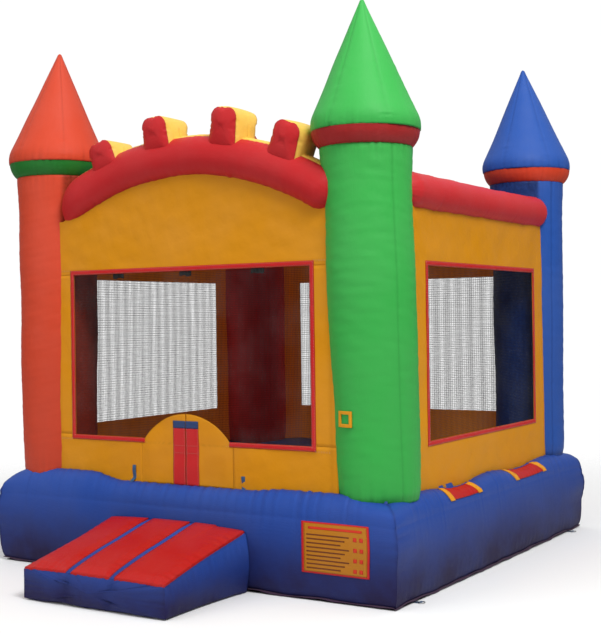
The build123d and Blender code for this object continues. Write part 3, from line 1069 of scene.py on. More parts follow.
@dataclass
class Base:
    """The square air-filled base: four side chambers, the quilted floor and what is sewn to them."""

    sizes: Sizes
    seam: float = field(init=False)
    bend: float = 0.60
    ledge_inner: float = 1.848
    core: float = 1.795
    seam_height: float = 0.012
    pinch: float = 0.006
    dimple: float = 0.018
    ear: float = 0.034
    step_round: int = 74
    quilt: float = 0.60
    quilt_depth: float = 0.030

    def __post_init__(self) -> None:
        """Read the ground seam's place from the frame."""
        self.seam = -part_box("ground_sheet")[0].x + 0.005

    def section(self) -> tuple[Array, Array, Array]:
        """The outer section from the ground seam up and over to the wall.

        Returns:
            Distances from the middle, heights, and the share of the way along, from 0 to 1.
        """
        top = self.sizes.base_top
        face = np.linspace(self.seam_height, self.bend, 30)
        rise = (face - self.seam_height) / (self.bend - self.seam_height)
        bulge = (self.sizes.bulge - self.seam) * np.sin(math.pi * rise**0.8) ** 0.7
        bulge += 0.006 * rise
        turn = np.linspace(0, math.pi / 2, 26)[1:]
        edge = self.seam + bulge[-1]
        out = np.concatenate([self.seam + bulge, self.ledge_inner + (edge - self.ledge_inner) * np.cos(turn)])
        height = np.concatenate([face, self.bend + (top - self.bend) * np.sin(turn)])
        share = np.concatenate([[0], np.cumsum(np.hypot(np.diff(out), np.diff(height)))])
        return out, height, share / share[-1]

    def ledge(self, side: Side, along: Array) -> Array:
        """How far the ledge at the wall's foot stands above or below its usual height."""
        reach = self.sizes.wall_half
        if side is Side.FRONT:
            left = 0.062 * smooth(-0.66, -1.02, along) * smooth(-2.10, -1.70, along)
            right = 0.026 * smooth(0.62, 0.95, along) * smooth(1.75, 1.5, along)
            return left + right - 0.002 * peak(along, 0.35)
        if side is Side.RIGHT:
            scallop = 0.5 - 0.5 * np.cos(TAU * (along + 1.30) / 1.30)
            return -0.050 * scallop * smooth(reach + 0.2, reach - 0.2, np.abs(along))
        return 0.012 * ripple(along, 0.9, 70 + side.value) - 0.02

    def surface(self, side: Side, sigma: Array, share: Array, proud: float = 0.0) -> tuple[Array, Array]:
        """The visible surface of a side chamber.

        Args:
            side: Which side.
            sigma: Place along the side as a share of the way to the corner, -1 to 1.
            share: Place round the section, from the ground seam at 0 to the wall at 1.
            proud: How far to stand off the surface.

        Returns:
            The points, and how deep each lies in a crease.
        """
        out_line, height_line, share_line = self.section()
        out = np.interp(share, share_line, out_line)
        height = np.interp(share, share_line, height_line)
        slope_out, slope_up = np.gradient(out_line, share_line), np.gradient(height_line, share_line)
        length = np.hypot(slope_out, slope_up)
        normal_out = np.interp(share, share_line, slope_up / length)
        normal_up = np.interp(share, share_line, -slope_out / length)
        corner = (1 - np.abs(sigma)) * self.seam
        along = sigma * out
        seed = 10 * side.value
        near = peak(corner, 0.17, 1.15)
        upper = smooth(0.35, 0.72, share)
        ear = peak(corner, 0.42) * smooth(0.30, 0.55, share) * smooth(0.98, 0.80, share)
        deep = near * (self.pinch * smooth(0.0, 0.30, share) + 0.008 * upper) - self.ear * ear
        sunk = self.dimple * peak(corner, 0.13, 1.2) * smooth(0.50, 0.78, share)
        top = smooth(0.70, 1.0, share)
        ledge = self.ledge(side, along) * top
        fold = pucker(along, 1 - share, 0.085, 0.0075, 0.26, seed + 1) * smooth(0.15, 0.40, corner)
        fold += pucker(along, share, 0.11, 0.006, 0.10, seed + 2)
        fold += pucker(height, corner, 0.10, 0.004, 0.16, seed + 3)
        broad = 0.006 * swell(np.stack([along, out, height * 0.5], -1), 0.9, seed + 4)
        body = smooth(0.0, 0.12, share)
        shift = (fold + broad * np.sin(math.pi * np.clip(share, 0, 1))) * body - deep + proud
        if side is Side.REAR:
            zip_low, zip_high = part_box("zip_tape")
            flat = smooth(0.12, 0.02, np.abs(height - (zip_low.z + zip_high.z) / 2))
            middle, half = -(zip_low.x + zip_high.x) / 2, (zip_high.x - zip_low.x) / 2
            flat = flat * smooth(half + 0.16, half + 0.03, np.abs(along - middle))
            target = self.sizes.bulge - 0.0012
            shift = shift * (1 - flat) + flat * (target - out)
            shift = np.minimum(shift, np.where(flat > 0, target - out, shift))
        wave = 0.007 * (1 + ripple(along, 0.5, seed + 5)) * smooth(0.16, 0.0, share)
        place_out = out + normal_out * shift
        place_up = height + normal_up * shift + ledge - sunk + wave
        # Painted shade along the ground seam, at the corners, where the chamber meets the wall and in the
        # folds.
        crease = 0.55 * peak(share, 0.035) + 0.30 * peak(corner, 0.018)
        crease += 0.25 * peak(1 - share, 0.05) + np.clip(-fold * 45, 0, 0.35)
        points = np.stack([sigma * place_out, -place_out, np.maximum(place_up, 0.003)], -1)
        return onto(points, side), np.clip(crease, 0, 1)

    def build_side(self, side: Side) -> None:
        """Build one side chamber as a closed skin, mitred at the corners."""
        count = 300
        ends = np.sin(np.linspace(-1, 1, count) * math.pi / 2)
        sigma = 0.45 * ends + 0.55 * np.linspace(-1, 1, count)
        share = np.linspace(0, 1, self.step_round)
        points, crease = self.surface(side, sigma[:, None] + 0 * share, share + 0 * sigma[:, None])
        inner = np.stack(
            [sigma * self.core, np.full(count, -self.core), np.full(count, self.sizes.base_top - 0.012)], -1
        )
        foot = inner.copy()
        foot[:, 2] = 0.006
        back = np.stack([onto(inner, side), onto(foot, side)], 1)
        rings = np.concatenate([points, back], 1)
        creases = np.concatenate([crease, np.zeros((count, 2))], 1)
        piece = skin(f"vinyl_base_{side.word}", rings, {"crease": creases})
        finish(piece, "blue_vinyl", "base_blue", replaces=(f"base_{side.word}",), padded=1.0)

    def build_floor(self) -> None:
        """Build the quilted floor, its inner webs and the sheet under the base."""
        half, top = self.sizes.wall - 0.002, self.sizes.base_top
        grid = np.linspace(-half, half, 184)
        across, along = lattice(grid, grid)
        channel = np.abs(np.sin(math.pi * (across / self.quilt + 0.5))) ** 0.7
        sink = self.quilt_depth * (1 - channel)
        fold = pucker(
            along, np.abs((across / self.quilt + 0.5) % 1 - 0.5) * self.quilt, 0.07, 0.005, 0.10, 51
        )
        rise = top - 0.004 - sink + fold * 0.6 + 0.003 * swell(level(across, along), 0.8, 52)
        points = np.stack([across, along, np.minimum(rise, top - 0.001)], -1).reshape(-1, 3)
        rows = len(grid)
        rim = border(rows, rows)
        low = points[rim] * (1, 1, 0) + (0, 0, 0.005)
        after = np.arange(len(rim))
        lower = rows * rows + after
        wall = np.stack([rim, np.roll(rim, -1), np.roll(lower, -1), lower], -1)
        base = np.stack([np.roll(lower, -1), lower, np.full(len(rim), rows * rows + len(rim))], -1)
        # Painted shade in the sunken channels of the quilting.
        crease = np.concatenate([np.clip((1 - channel) * 0.55, 0, 1).ravel(), np.zeros(len(rim) + 1)])
        everything = np.concatenate([points, low, [[0, 0, 0.005]]])
        floor = mesh_object(
            "vinyl_floor", everything, [quads(rows, rows, False), wall, base], {"crease": crease}
        )
        face_outwards(floor)
        finish(floor, "blue_vinyl", "roof_blue", replaces=("bounce_floor",), padded=1.0)
        self.build_webs(half)
        self.build_ground_sheet()

    def build_webs(self, half: float) -> None:
        """Build the five pierced webs inside the floor, as one hidden sheet each."""
        low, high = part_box("floor_baffles")
        count, reach = 5, half - 0.01
        ports, radius = np.array([-0.9, 0.0, 0.9]), 0.12
        along = spread(-reach, reach, step=0.03)
        height = np.linspace(low.z + 0.004, high.z - 0.036, 26)
        flat_along, flat_height = np.meshgrid(along, height)
        middle_along = (flat_along[:-1, :-1] + flat_along[1:, 1:]) / 2
        middle_height = (flat_height[:-1, :-1] + flat_height[1:, 1:]) / 2
        away = np.min(
            np.hypot(middle_along[..., None] - ports, (middle_height - self.sizes.base_top / 2)[..., None]),
            -1
        )
        for number in range(count):
            place = (number - (count - 1) / 2) * self.quilt
            out = place + 0.004 * ripple(flat_along, 0.6, 60 + number) + 0.0015
            web = cloth(
                f"floor_web_{number + 1}", Side.RIGHT, flat_along, flat_height, out, 0.003, away > radius
            )
            stands_for = ("floor_baffles",) if number == 0 else ()
            finish(web, "blue_vinyl", "roof_blue", "roof_blue", replaces=stands_for)

    def build_ground_sheet(self) -> None:
        """Build the worn sheet that the base stands on."""
        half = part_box("ground_sheet")[1].x - 0.002
        grid = np.linspace(-half, half, 90)
        across, along = np.meshgrid(grid, grid)
        lift = 0.0035 + 0.0004 * swell(level(across, along), 0.4, 61)
        flat = np.stack([across, along], -1).reshape(-1, 2)
        points = np.concatenate([flat, lift.reshape(-1, 1)], 1)
        sheet = mesh_object("ground_sheet_vinyl", points, [quads(90, 90, False)], None, flat)
        thicken(sheet, 0.003)
        finish(sheet, "black_vinyl", "ground_black", replaces=("ground_sheet",))

    def strip(
        self, name: str, side: Side, sigma: tuple[
            float, float
        ], share: tuple[float, float], proud: float, lean: float = 0.0
    ) -> bpy.types.Object:
        """A thin patch that follows a side chamber's surface.

        Args:
            name: The piece's name.
            side: Which side.
            sigma: Its ends along the side.
            share: Its ends round the section.
            proud: How far its face stands off the chamber.
            lean: How far its outer end is shifted along the side.

        Returns:
            The patch.
        """
        columns = max(6, math.ceil(abs(sigma[1] - sigma[0]) * self.seam / 0.016))
        rows = max(6, math.ceil(abs(share[1] - share[0]) / 0.012))
        s, t = np.meshgrid(np.linspace(*sigma, columns), np.linspace(*share, rows))
        s = s + lean * (share[1] - t) / (share[1] - share[0])
        outer = self.surface(side, s, t, proud)[0]
        inner = self.surface(side, s, t, proud - 0.010)[0]
        edge = np.minimum.reduce([s - s.min(), s.max() - s, t - t.min(), t.max() - t])
        # Painted shade along the patch's edges.
        return slab(name, outer, inner, 0.5 * peak(edge, 0.004))

    def build_binding(self) -> None:
        """Build the bound seam that runs round the foot of the base."""
        loops = []
        for side in (Side.FRONT, Side.RIGHT, Side.REAR, Side.LEFT):
            sigma = np.linspace(-1, 1, 221)[:-1]
            loops.append(self.surface(side, sigma, np.zeros_like(sigma))[0])
        line = np.concatenate(loops)
        away = line * (1, 1, 0)
        away /= np.linalg.norm(away, axis=1, keepdims=True)
        length = np.arange(len(line)) * 0.018
        sag = 0.006 * ripple(length, 0.28, 77)[:, None]
        section = [
            (0.000, 0.003), (0.013, 0.002), (0.020, -0.002), (0.019, -0.005), (0.006, -0.004),
            (-0.006, -0.001)
        ]
        rings = np.stack(
            [
                line + away * (o + np.abs(sag)) + np.array([0, 0, 1]) * (u + sag * (o / 0.02)) for o,
                u in section
            ], 1
        )
        rings[..., 2] = np.maximum(rings[..., 2], 0.0015)
        count, around = rings.shape[:2]
        faces = quads(count, around, True)
        join = quads(2, around, True)
        join = np.where(join < around, join + (count - 1) * around, join - around)
        piece = mesh_object("base_seam_binding", rings.reshape(-1, 3), [faces, join])
        face_outwards(piece)
        finish(piece, "webbing", "seam_binding")

    def build_flaps(self) -> None:
        """Build the two red skid flaps with yellow edges on the right side's ledge."""
        for number, (start, end) in enumerate(((-1.04, -0.50), (0.32, 0.98)), 1):
            reach = self.seam
            span = (start / reach, end / reach)
            low, high = 0.80, 0.985
            lean = 0.045
            panel = self.strip(f"ledge_flap_{number}", Side.RIGHT, span, (low + 0.01, high), 0.0065, lean)
            finish(panel, "red_vinyl", "step_red")
            for word, middle in (("near", span[0]), ("far", span[1])):
                band = (middle - 0.020, middle + 0.020)
                edge = self.strip(
                    f"ledge_flap_{number}_{word}_edge", Side.RIGHT, band, (low, high), 0.0085, lean
                )
                finish(edge, "yellow_vinyl", "yellow_edge")

    def build_notice(self) -> None:
        """Build the plain notice panel on the front side, with blank rows where a notice has text."""
        left, right = 1.168 / self.seam, 1.735 / self.seam
        low, high = 0.252, 0.715
        edging = self.strip("notice_border", Side.FRONT, (left, right), (low, high), 0.0045)
        finish(edging, "red_vinyl", "red_tape")
        inset, lift = 0.010, 0.0065
        face = self.strip(
            "notice_face", Side.FRONT, (left + inset, right - inset), (low + 0.016, high - 0.016), lift
        )
        finish(face, "yellow_vinyl", "label_face")
        rows, first, last = 9, high - 0.115, low + 0.05
        pieces = []
        for number in range(rows):
            middle = first + (last - first) * number / (rows - 1)
            stop = left + 0.205 - 0.018 * (number * 7 % 3)
            row = self.strip(
                "notice_row", Side.FRONT, (left + 0.022, stop), (middle - 0.006, middle + 0.006),
                lift + 0.001
            )
            pieces.append(row)
        finish(joined("notice_rows", pieces), "yellow_vinyl", "label_rows")
        title = (high - 0.066, high - 0.044)
        pieces = [self.strip("notice_title", Side.FRONT, (left + 0.03, right - 0.03), title, lift + 0.001)]
        for number in range(8):
            middle = first - 0.012 + (last - first) * (number // 2) / 3.2
            start = left + 0.222 + 0.026 * (number % 2)
            mark = (start, start + 0.015)
            pieces.append(
                self.strip("notice_mark", Side.FRONT, mark, (middle - 0.018, middle + 0.018), lift + 0.001)
            )
        finish(joined("notice_marks", pieces), "red_vinyl", "label_marks")

    def build(self) -> None:
        """Build the whole base."""
        for side in Side:
            self.build_side(side)
        self.build_floor()
        self.build_binding()
        self.build_flaps()
        self.build_notice()


def joined(name: str, pieces: list[bpy.types.Object]) -> bpy.types.Object:
    """Join several plain meshes into one piece.

    Args:
        name: The joined piece's name.
        pieces: The meshes, which are removed.

    Returns:
        The joined piece.
    """
    work = bmesh.new()
    for piece in pieces:
        work.from_mesh(piece.data)
        mesh = piece.data
        bpy.data.objects.remove(piece)
        bpy.data.meshes.remove(mesh)
    made = bpy.data.meshes.new(name)
    work.to_mesh(made)
    work.free()
    whole = bpy.data.objects.new(name, made)
    bpy.context.scene.collection.objects.link(whole)
    return whole


# ---- Towers ----


@dataclass
class Tower:
    """One corner tower: its column, its collar and its spire."""

    sizes: Sizes
    corner: Corner
    slots: tuple[str, str]
    finishes: tuple[str, str]
    lean: tuple[float, float, float] = (0.0, 0.0, 0.0)
    droop: float = 0.0
    # How much painted shade falls on the column's parts that face into the house.
    gloom: float = 0.8
    lean_way: Colour = (0.846, 0.532, 0.0)
    gores: int = 6
    around: int = 132

    @property
    def middle(self) -> Array:
        """The tower's axis at the ground."""
        sx, sy = self.corner.value
        return np.array([sx * self.sizes.tower, sy * self.sizes.tower, 0.0])

    @property
    def seed(self) -> int:
        """A number of its own for each tower's folds."""
        return 200 + 20 * list(Corner).index(self.corner)

    def axis(self, height: Array) -> Array:
        """The tower's own line at each height, which leans a little as it stands under air."""
        low, collar, top = self.sizes.base_top, self.sizes.collar_top, self.sizes.spire_top
        shift = np.interp(height, (low, collar, top), self.lean)
        return self.middle + shift[..., None] * np.array(self.lean_way)

    def turned(self, radius: Array, height: Array, angle: Array) -> Array:
        """Points round the tower's axis."""
        ring = np.stack([radius * np.cos(angle), radius * np.sin(angle), height], -1)
        ring += self.axis(height)
        over = np.clip(height - self.sizes.collar_top, 0, None)
        ring[..., 2] -= self.droop * over / (self.sizes.spire_top - self.sizes.collar_top)
        return ring

    def pole(self, height: float) -> Array:
        """The point on the tower's line at one height."""
        return self.turned(np.zeros(1), np.array([height]), np.zeros(1))[0]

    def angles(self) -> Array:
        """Directions round the axis, starting behind a sewn seam."""
        return all_round(self.around)

    def build_column(self) -> None:
        """Build the upright tube, pinched at its foot and under its collar, with sewn seams."""
        low, high, full = self.sizes.base_top - 0.035, self.sizes.column_top, self.sizes.column_radius
        height, angle = lattice(spread(low, low + 0.35, high - 0.35, high, step=0.017), self.angles())
        radius = full - 0.002 + 0.015 * smooth(low, high - 0.4, height)
        radius -= 0.022 * np.exp(-((height - low) / 0.055)) - 0.010 * smooth(high - 0.30, high - 0.02, height)
        along = angle * full
        fold = pucker(along, height - low, 0.055, 0.0065, 0.13, self.seed)
        fold += pucker(along, high - height, 0.05, 0.006, 0.10, self.seed + 1)
        flat = np.stack([np.cos(angle) * full, np.sin(angle) * full, height], -1)
        broad = 0.004 * swell(flat, 0.7, self.seed + 2) + 0.0012 * swell(
            flat * (1, 1, 2.4), 0.16, self.seed + 3
        )
        # Painted shade in the folds and along the sewn seams.
        crease = np.clip(-fold * 55, 0, 0.4)
        for quarter in range(4):
            seam = (quarter + 0.5) * math.pi / 2 + (0.32 if quarter % 2 else -0.32)
            away = turn_between(angle, seam) * full
            broad -= 0.0045 * peak(away, 0.012)
            crease += 0.4 * peak(away, 0.006)
            fold += pucker(height, away, 0.075, 0.002, 0.05, self.seed + 4 + quarter)
        # Painted shade at the column's foot, where it meets the base.
        crease += 0.5 * peak(height - low - 0.03, 0.03)
        points = self.turned(radius + fold + broad, height, angle)
        # Painted shade on the column's parts inside the walls, which face into the dim house.
        room = self.sizes.wall - 0.01
        inside = np.prod([smooth(room + 0.02, room - 0.02, np.abs(points[..., axis])) for axis in (0, 1)], 0)
        crease = np.clip(crease + self.gloom * inside, 0, 1)
        poles = (self.pole(low), self.pole(high))
        piece = skin(f"vinyl_column_{self.corner.word}", points, {"crease": crease}, poles)
        finish(piece, self.slots[0], self.finishes[0], replaces=(f"column_{self.corner.word}",), padded=1.0)

    def build_collar(self) -> None:
        """Build the flared band between the column and the spire."""
        low, high = self.sizes.column_top, self.sizes.collar_top
        rise, angle = lattice(np.linspace(0, 1, 22), self.angles())
        foot, rim = self.sizes.column_radius + 0.022, self.sizes.collar_radius - 0.002
        radius = foot + (rim - foot) * rise**0.72
        height = low + (high - low) * rise
        fold = pucker(angle * rim, rise * 0.12, 0.048, 0.007, 0.07, self.seed + 9)
        fold += pucker(angle * rim, (1 - rise) * 0.12, 0.040, 0.005, 0.05, self.seed + 10)
        radius = radius + fold + 0.010 * np.sin(math.pi * rise)
        # Painted shade in the folds and where the collar meets the column and the spire.
        crease = np.clip(-fold * 60, 0, 0.5) + 0.4 * peak(rise, 0.07) + 0.5 * peak(1 - rise, 0.06)
        under = self.turned(radius[0] - 0.03, height[0] - 0.004, angle[0])[None]
        rings = np.concatenate([under, self.turned(radius, height, angle)])
        crease = np.concatenate([crease[:1], crease])
        poles = (self.pole(low - 0.002), self.pole(high))
        piece = skin(f"vinyl_collar_{self.corner.word}", rings, creased(crease), poles)
        finish(piece, self.slots[1], self.finishes[1], replaces=(f"collar_{self.corner.word}",), padded=1.0)

    def build_spire(self) -> None:
        """Build the pointed top: a rounded shoulder and a straight cone, sewn from gores."""
        low, high = self.sizes.collar_top, self.sizes.spire_top
        rim = self.sizes.collar_radius
        bend, shoulder = 0.135, rim - 0.022
        rise = np.concatenate([np.linspace(0, bend, 16)[:-1], np.linspace(bend, high - low - 0.012, 66)])
        share = rise / bend
        rounded = rim + 0.006 * np.sin(math.pi * share) + 0.004 * share - (rim - shoulder) * share**2
        straight = shoulder + (0.012 - shoulder) * (rise - bend) / (high - low - 0.012 - bend)
        line = np.where(rise < bend, rounded, straight + 0.004)
        rise_grid, angle = lattice(rise, self.angles())
        radius = np.repeat(line[:, None], self.around, 1)
        share = radius / rim
        fold = pucker(angle * rim, rise_grid, 0.050, 0.0085, 0.085, self.seed + 12)
        # Painted shade in the folds, along the gore seams and at the spire's foot.
        crease = np.clip(-fold * 50, 0, 0.45) + 0.45 * peak(rise_grid, 0.012)
        flat = np.stack([np.cos(angle) * radius, np.sin(angle) * radius, rise_grid], -1)
        broad = 0.0045 * swell(flat, 0.5, self.seed + 13) * share
        for gore in range(self.gores):
            seam = (gore + 0.35) * TAU / self.gores
            away = turn_between(angle, seam) * radius
            broad -= 0.004 * peak(away, 0.010) * smooth(0.03, 0.2, share)
            crease += 0.30 * peak(away, 0.005)
            fold += pucker(rise_grid, away, 0.06, 0.0035, 0.035, self.seed + 14 + gore) * share
        rings = self.turned(radius + fold + broad, low + rise_grid, angle)
        poles = (self.pole(low + 0.001), self.pole(high - 0.001))
        piece = skin(f"vinyl_spire_{self.corner.word}", rings, creased(crease), poles)
        finish(piece, self.slots[0], self.finishes[0], replaces=(f"spire_{self.corner.word}",), padded=1.0)

    def build(self) -> None:
        """Build the whole tower."""
        self.build_column()
        self.build_collar()
        self.build_spire()


# ---- Arch, merlons, beams and roof ----


@dataclass
class Crown:
    """What closes the top of the walls: the arch with its merlons, three beams and the roof."""

    sizes: Sizes
    merlon_angles: tuple[float, ...] = (-16.5, -4.6, 9.2, 21.1)
    merlon_lift: tuple[float, ...] = (-0.035, 0.010, 0.045, 0.035)
    seam_angle: float = math.radians(63)
    merlon_width: float = 0.275
    merlon_depth: float = 0.305
    merlon_height: float = 0.190
    centre: float = field(init=False)
    line: float = field(init=False)

    def __post_init__(self) -> None:
        """Work out the arch's circle from its node."""
        low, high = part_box("front_arch")
        radius = self.sizes.arch_radius
        crown = high.z - radius
        half = self.sizes.wall_half + 0.02
        end = low.z + radius * 0.93
        rise = crown - end
        self.line = (half**2 + rise**2) / (2 * rise)
        self.centre = crown - self.line

    def build_arch(self) -> None:
        """Build the arch as a tube with rounded ends and a yellow strip along its top."""
        radius = self.sizes.arch_radius * 1.09
        half = math.asin((self.sizes.wall_half + 0.075) / self.line)
        left = math.asin((self.sizes.wall_half - 0.005) / self.line)
        turn, angle = lattice(np.linspace(-left, half, 230), all_round(96))
        along = turn * self.line
        end = np.where(along < 0, 0.34, 0.17)
        away = np.minimum(half * self.line - along, left * self.line + along)
        share = np.sqrt(np.clip(1 - (1 - np.clip(away / end, 0.004, 1)) ** 2, 0.0, 1))
        seam_front, seam_back = self.seam_angle, math.pi - self.seam_angle
        near = np.minimum(np.abs(angle - seam_front), np.abs(angle - seam_back)) * radius
        fold = pucker(along, near, 0.060, 0.0035, 0.085, 301)
        lower = turn_between(angle, math.radians(-68)) * radius
        fold += pucker(along, lower, 0.075, 0.004, 0.12, 302) + pucker(
            angle * radius, away, 0.07, 0.006, 0.12, 305
        )
        flat = np.stack([along, np.cos(angle) * radius, np.sin(angle) * radius], -1)
        full = (radius + fold + 0.004 * swell(flat, 0.5, 303) - 0.004 * peak(near, 0.007)) * share
        inward = radius * 0.75 * (1 - share) * (along < 0)
        reach = self.line + 0.012 - inward + full * np.sin(angle)
        points = np.stack([
            reach * np.sin(turn), -self.sizes.tube - full * np.cos(angle), self.centre + reach * np.cos(turn)
        ], -1)
        # Painted shade in the folds, along the seams and on the tube's lower side.
        crease = np.clip(-fold * 50, 0, 0.4) + 0.5 * peak(near, 0.005) + 0.4 * peak(lower, 0.03)
        tone = np.minimum(angle - seam_front, seam_back - angle)
        piece = skin("vinyl_front_arch", points, {**creased(crease), "tone": tone})
        finish(piece, "red_vinyl", "crown", replaces=("front_arch",), padded=1.0)

    def build_merlon(self, number: int) -> None:
        """Build one merlon: a red face and back, with a yellow band round its top and sides."""
        lift = self.merlon_lift[number]
        foot, top = self.line + 0.060, self.line + self.sizes.arch_radius + self.merlon_height + lift
        half, depth = self.merlon_width / 2, self.merlon_depth / 2
        rounding = 0.085
        side_rise = np.linspace(foot, top - rounding, 18)[:-1]
        turn = np.linspace(0, math.pi / 2, 12)
        arc_x, arc_z = half - rounding + rounding * np.cos(turn), top - rounding + rounding * np.sin(turn)
        flat_x = np.linspace(half - rounding, -(half - rounding), 16)[1:-1]
        across = np.concatenate([np.full(17, half), arc_x, flat_x, -arc_x[::-1], np.full(17, -half)])
        up = np.concatenate([side_rise, arc_z, np.full(14, top), arc_z[::-1], side_rise[::-1]])
        bottom = np.linspace(-half, half, 16)[1:-1]
        across, up = np.concatenate([across, bottom]), np.concatenate([up, np.full(14, foot)])
        middle = (foot + top) / 2 + 0.02
        stations = np.linspace(-1, 1, 26)
        caps = np.array([0.08, 0.25, 0.42, 0.58, 0.72, 0.84, 0.93])
        scale = np.concatenate([caps, np.ones(len(stations)), caps[::-1]])
        place = np.concatenate([np.full(7, -1.0), stations, np.full(7, 1.0)])
        bulge = 0.030 * (1 - scale**2)
        wide = 1 + 0.045 * np.sin(math.pi * (place + 1) / 2)
        rise = (up - foot) / (top - foot)
        lean = 1 - 0.10 * rise
        x = (across * lean)[None] * (scale * wide)[:, None]
        z = middle + (up - middle)[None] * (scale * (1 + 0.03 * (wide - 1)))[:, None]
        pull = 0.018 * (1 - np.clip(rise, 0, 1))[None] * np.sign(place)[:, None]
        y = (place * depth + np.sign(place) * bulge)[:, None] - pull + 0 * x
        seed = 320 + 10 * number
        edge = (1 - np.abs(place))[:, None] * depth + (1 - scale)[:, None] * half
        around = np.cumsum(
            np.hypot(np.diff(across, prepend=across[-1]), np.diff(up, prepend=up[-1]))
        )[None] + 0 * x
        fold = pucker(around, edge, 0.038, 0.0030, 0.024, seed) + pucker(
            x + y, z - foot - 0.05, 0.05, 0.003, 0.04, seed + 1
        )
        grow = 1 + fold / half
        x, z = x * grow, middle + (z - middle) * grow
        # Painted shade in the folds and along the merlon's edges.
        crease = np.clip(-fold * 55, 0, 0.45) + 0.5 * peak(edge, 0.006)
        tone = (0.997 - np.abs(place))[:, None] + 0 * x
        tone = np.where(scale[:, None] < 1, -0.2, tone)
        tilt = math.radians(self.merlon_angles[number])
        lean_x = x * math.cos(tilt) + z * math.sin(tilt)
        lean_z = -x * math.sin(tilt) + z * math.cos(tilt) + self.centre
        rings = np.stack([lean_x, y - self.sizes.tube, lean_z], -1)
        values = {**creased(crease), "tone": tone}
        piece = skin(f"vinyl_merlon_{number + 1}", rings, values)
        fill_with_air(piece, pressure=4.0, cap=0.014)
        finish(piece, "red_vinyl", "crown", replaces=(f"merlon_{number + 1}",), padded=1.0)

    def build_beam(self, side: Side) -> None:
        """Build a straight beam with rounded ends."""
        low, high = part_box(f"beam_{side.word}")
        radius, middle = (high.z - low.z) / 2, (high.z + low.z) / 2
        half, end = self.sizes.wall_half + 0.085, 0.16
        along, angle = lattice(np.linspace(-half, half, 200), all_round(84))
        away = half - np.abs(along)
        share = np.sqrt(np.clip(1 - (1 - np.clip(away / end, 0.004, 1)) ** 2, 0.0, 1))
        seed = 360 + 10 * side.value
        lower = turn_between(angle, math.radians(-66)) * radius
        seam = turn_between(angle, math.radians(64)) * radius
        fold = pucker(along, lower, 0.075, 0.004, 0.11, seed) + pucker(
            along, seam, 0.06, 0.003, 0.06, seed + 1
        )
        fold += pucker(angle * radius, away, 0.06, 0.008, 0.12, seed + 3)
        flat = np.stack([along, np.cos(angle) * radius, np.sin(angle) * radius], -1)
        full = (radius + fold + 0.004 * swell(flat, 0.5, seed + 2) - 0.003 * peak(seam, 0.007)) * share
        points = np.stack([along, -self.sizes.tube - full * np.cos(angle), middle + full * np.sin(angle)], -1)
        # Painted shade in the folds, on the tube's lower side and along its seam.
        crease = np.clip(-fold * 50, 0, 0.4) + 0.4 * peak(lower, 0.03) + 0.3 * peak(seam, 0.005)
        rings = onto(points, side)
        piece = skin(f"vinyl_beam_{side.word}", rings, creased(crease))
        finish(piece, "red_vinyl", "beam_red", replaces=(f"beam_{side.word}",), padded=1.0)

    def build_roof(self) -> None:
        """Build the roof sheet, slack between the beams."""
        low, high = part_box("roof_sheet")
        across, along = np.meshgrid(
            np.linspace(low.x - 0.02, high.x + 0.02, 110), np.linspace(low.y + 0.05, high.y + 0.02, 110)
        )
        centre = self.sizes.tower
        keep = np.ones((109, 109), bool)
        for sx, sy in (corner.value for corner in Corner):
            away = np.hypot(
                (across[1:, 1:] + across[:-1, :-1]) / 2 - sx * centre,
                (along[1:, 1:] + along[:-1, :-1]) / 2 - sy * centre
            )
            keep &= away > self.sizes.column_radius - 0.02
        sag = 0.045 * np.cos(math.pi * across / (2.1 * high.x)) * np.cos(math.pi * along / (2.1 * high.y))
        seam = np.minimum(np.abs(across - 0.62), np.abs(across + 0.62))
        lift = high.z - sag + 0.010 * swell(level(across, along), 0.6, 390)
        lift = lift - 0.004 * peak(seam, 0.01)
        flat = np.stack([across, along], -1).reshape(-1, 2)
        points = np.concatenate([flat, lift.reshape(-1, 1)], 1)
        # Painted shade along the roof's two seams.
        values = {"crease": (0.45 * peak(seam, 0.007)).ravel()}
        sheet = mesh_object("roof_vinyl", points, [quads(110, 110, False)[keep.ravel()]], values, flat)
        thicken(sheet, 0.003)
        finish(sheet, "blue_vinyl", "roof_blue", replaces=("roof_sheet",))

    def build(self) -> None:
        """Build the whole crown."""
        self.build_arch()
        for number in range(len(self.merlon_angles)):
            self.build_merlon(number)
        for side in (Side.RIGHT, Side.REAR, Side.LEFT):
            self.build_beam(side)
        self.build_roof()


# ---- Rows of stitches and teeth ----


def line_object(name: str, runs: list[Array]) -> bpy.types.Object:
    """A curve object of straight runs.

    Args:
        name: The object's name.
        runs: The points of each run.

    Returns:
        The curve.
    """
    curve = bpy.data.curves.new(name, "CURVE")
    curve.dimensions = "3D"
    for run in runs:
        spline = curve.splines.new("POLY")
        spline.points.add(len(run) - 1)
        spline.points.foreach_set(
            "co", np.concatenate([run, np.ones((len(run), 1))], 1).astype(np.float32).ravel()
        )
    piece = bpy.data.objects.new(name, curve)
    bpy.context.scene.collection.objects.link(piece)
    return piece


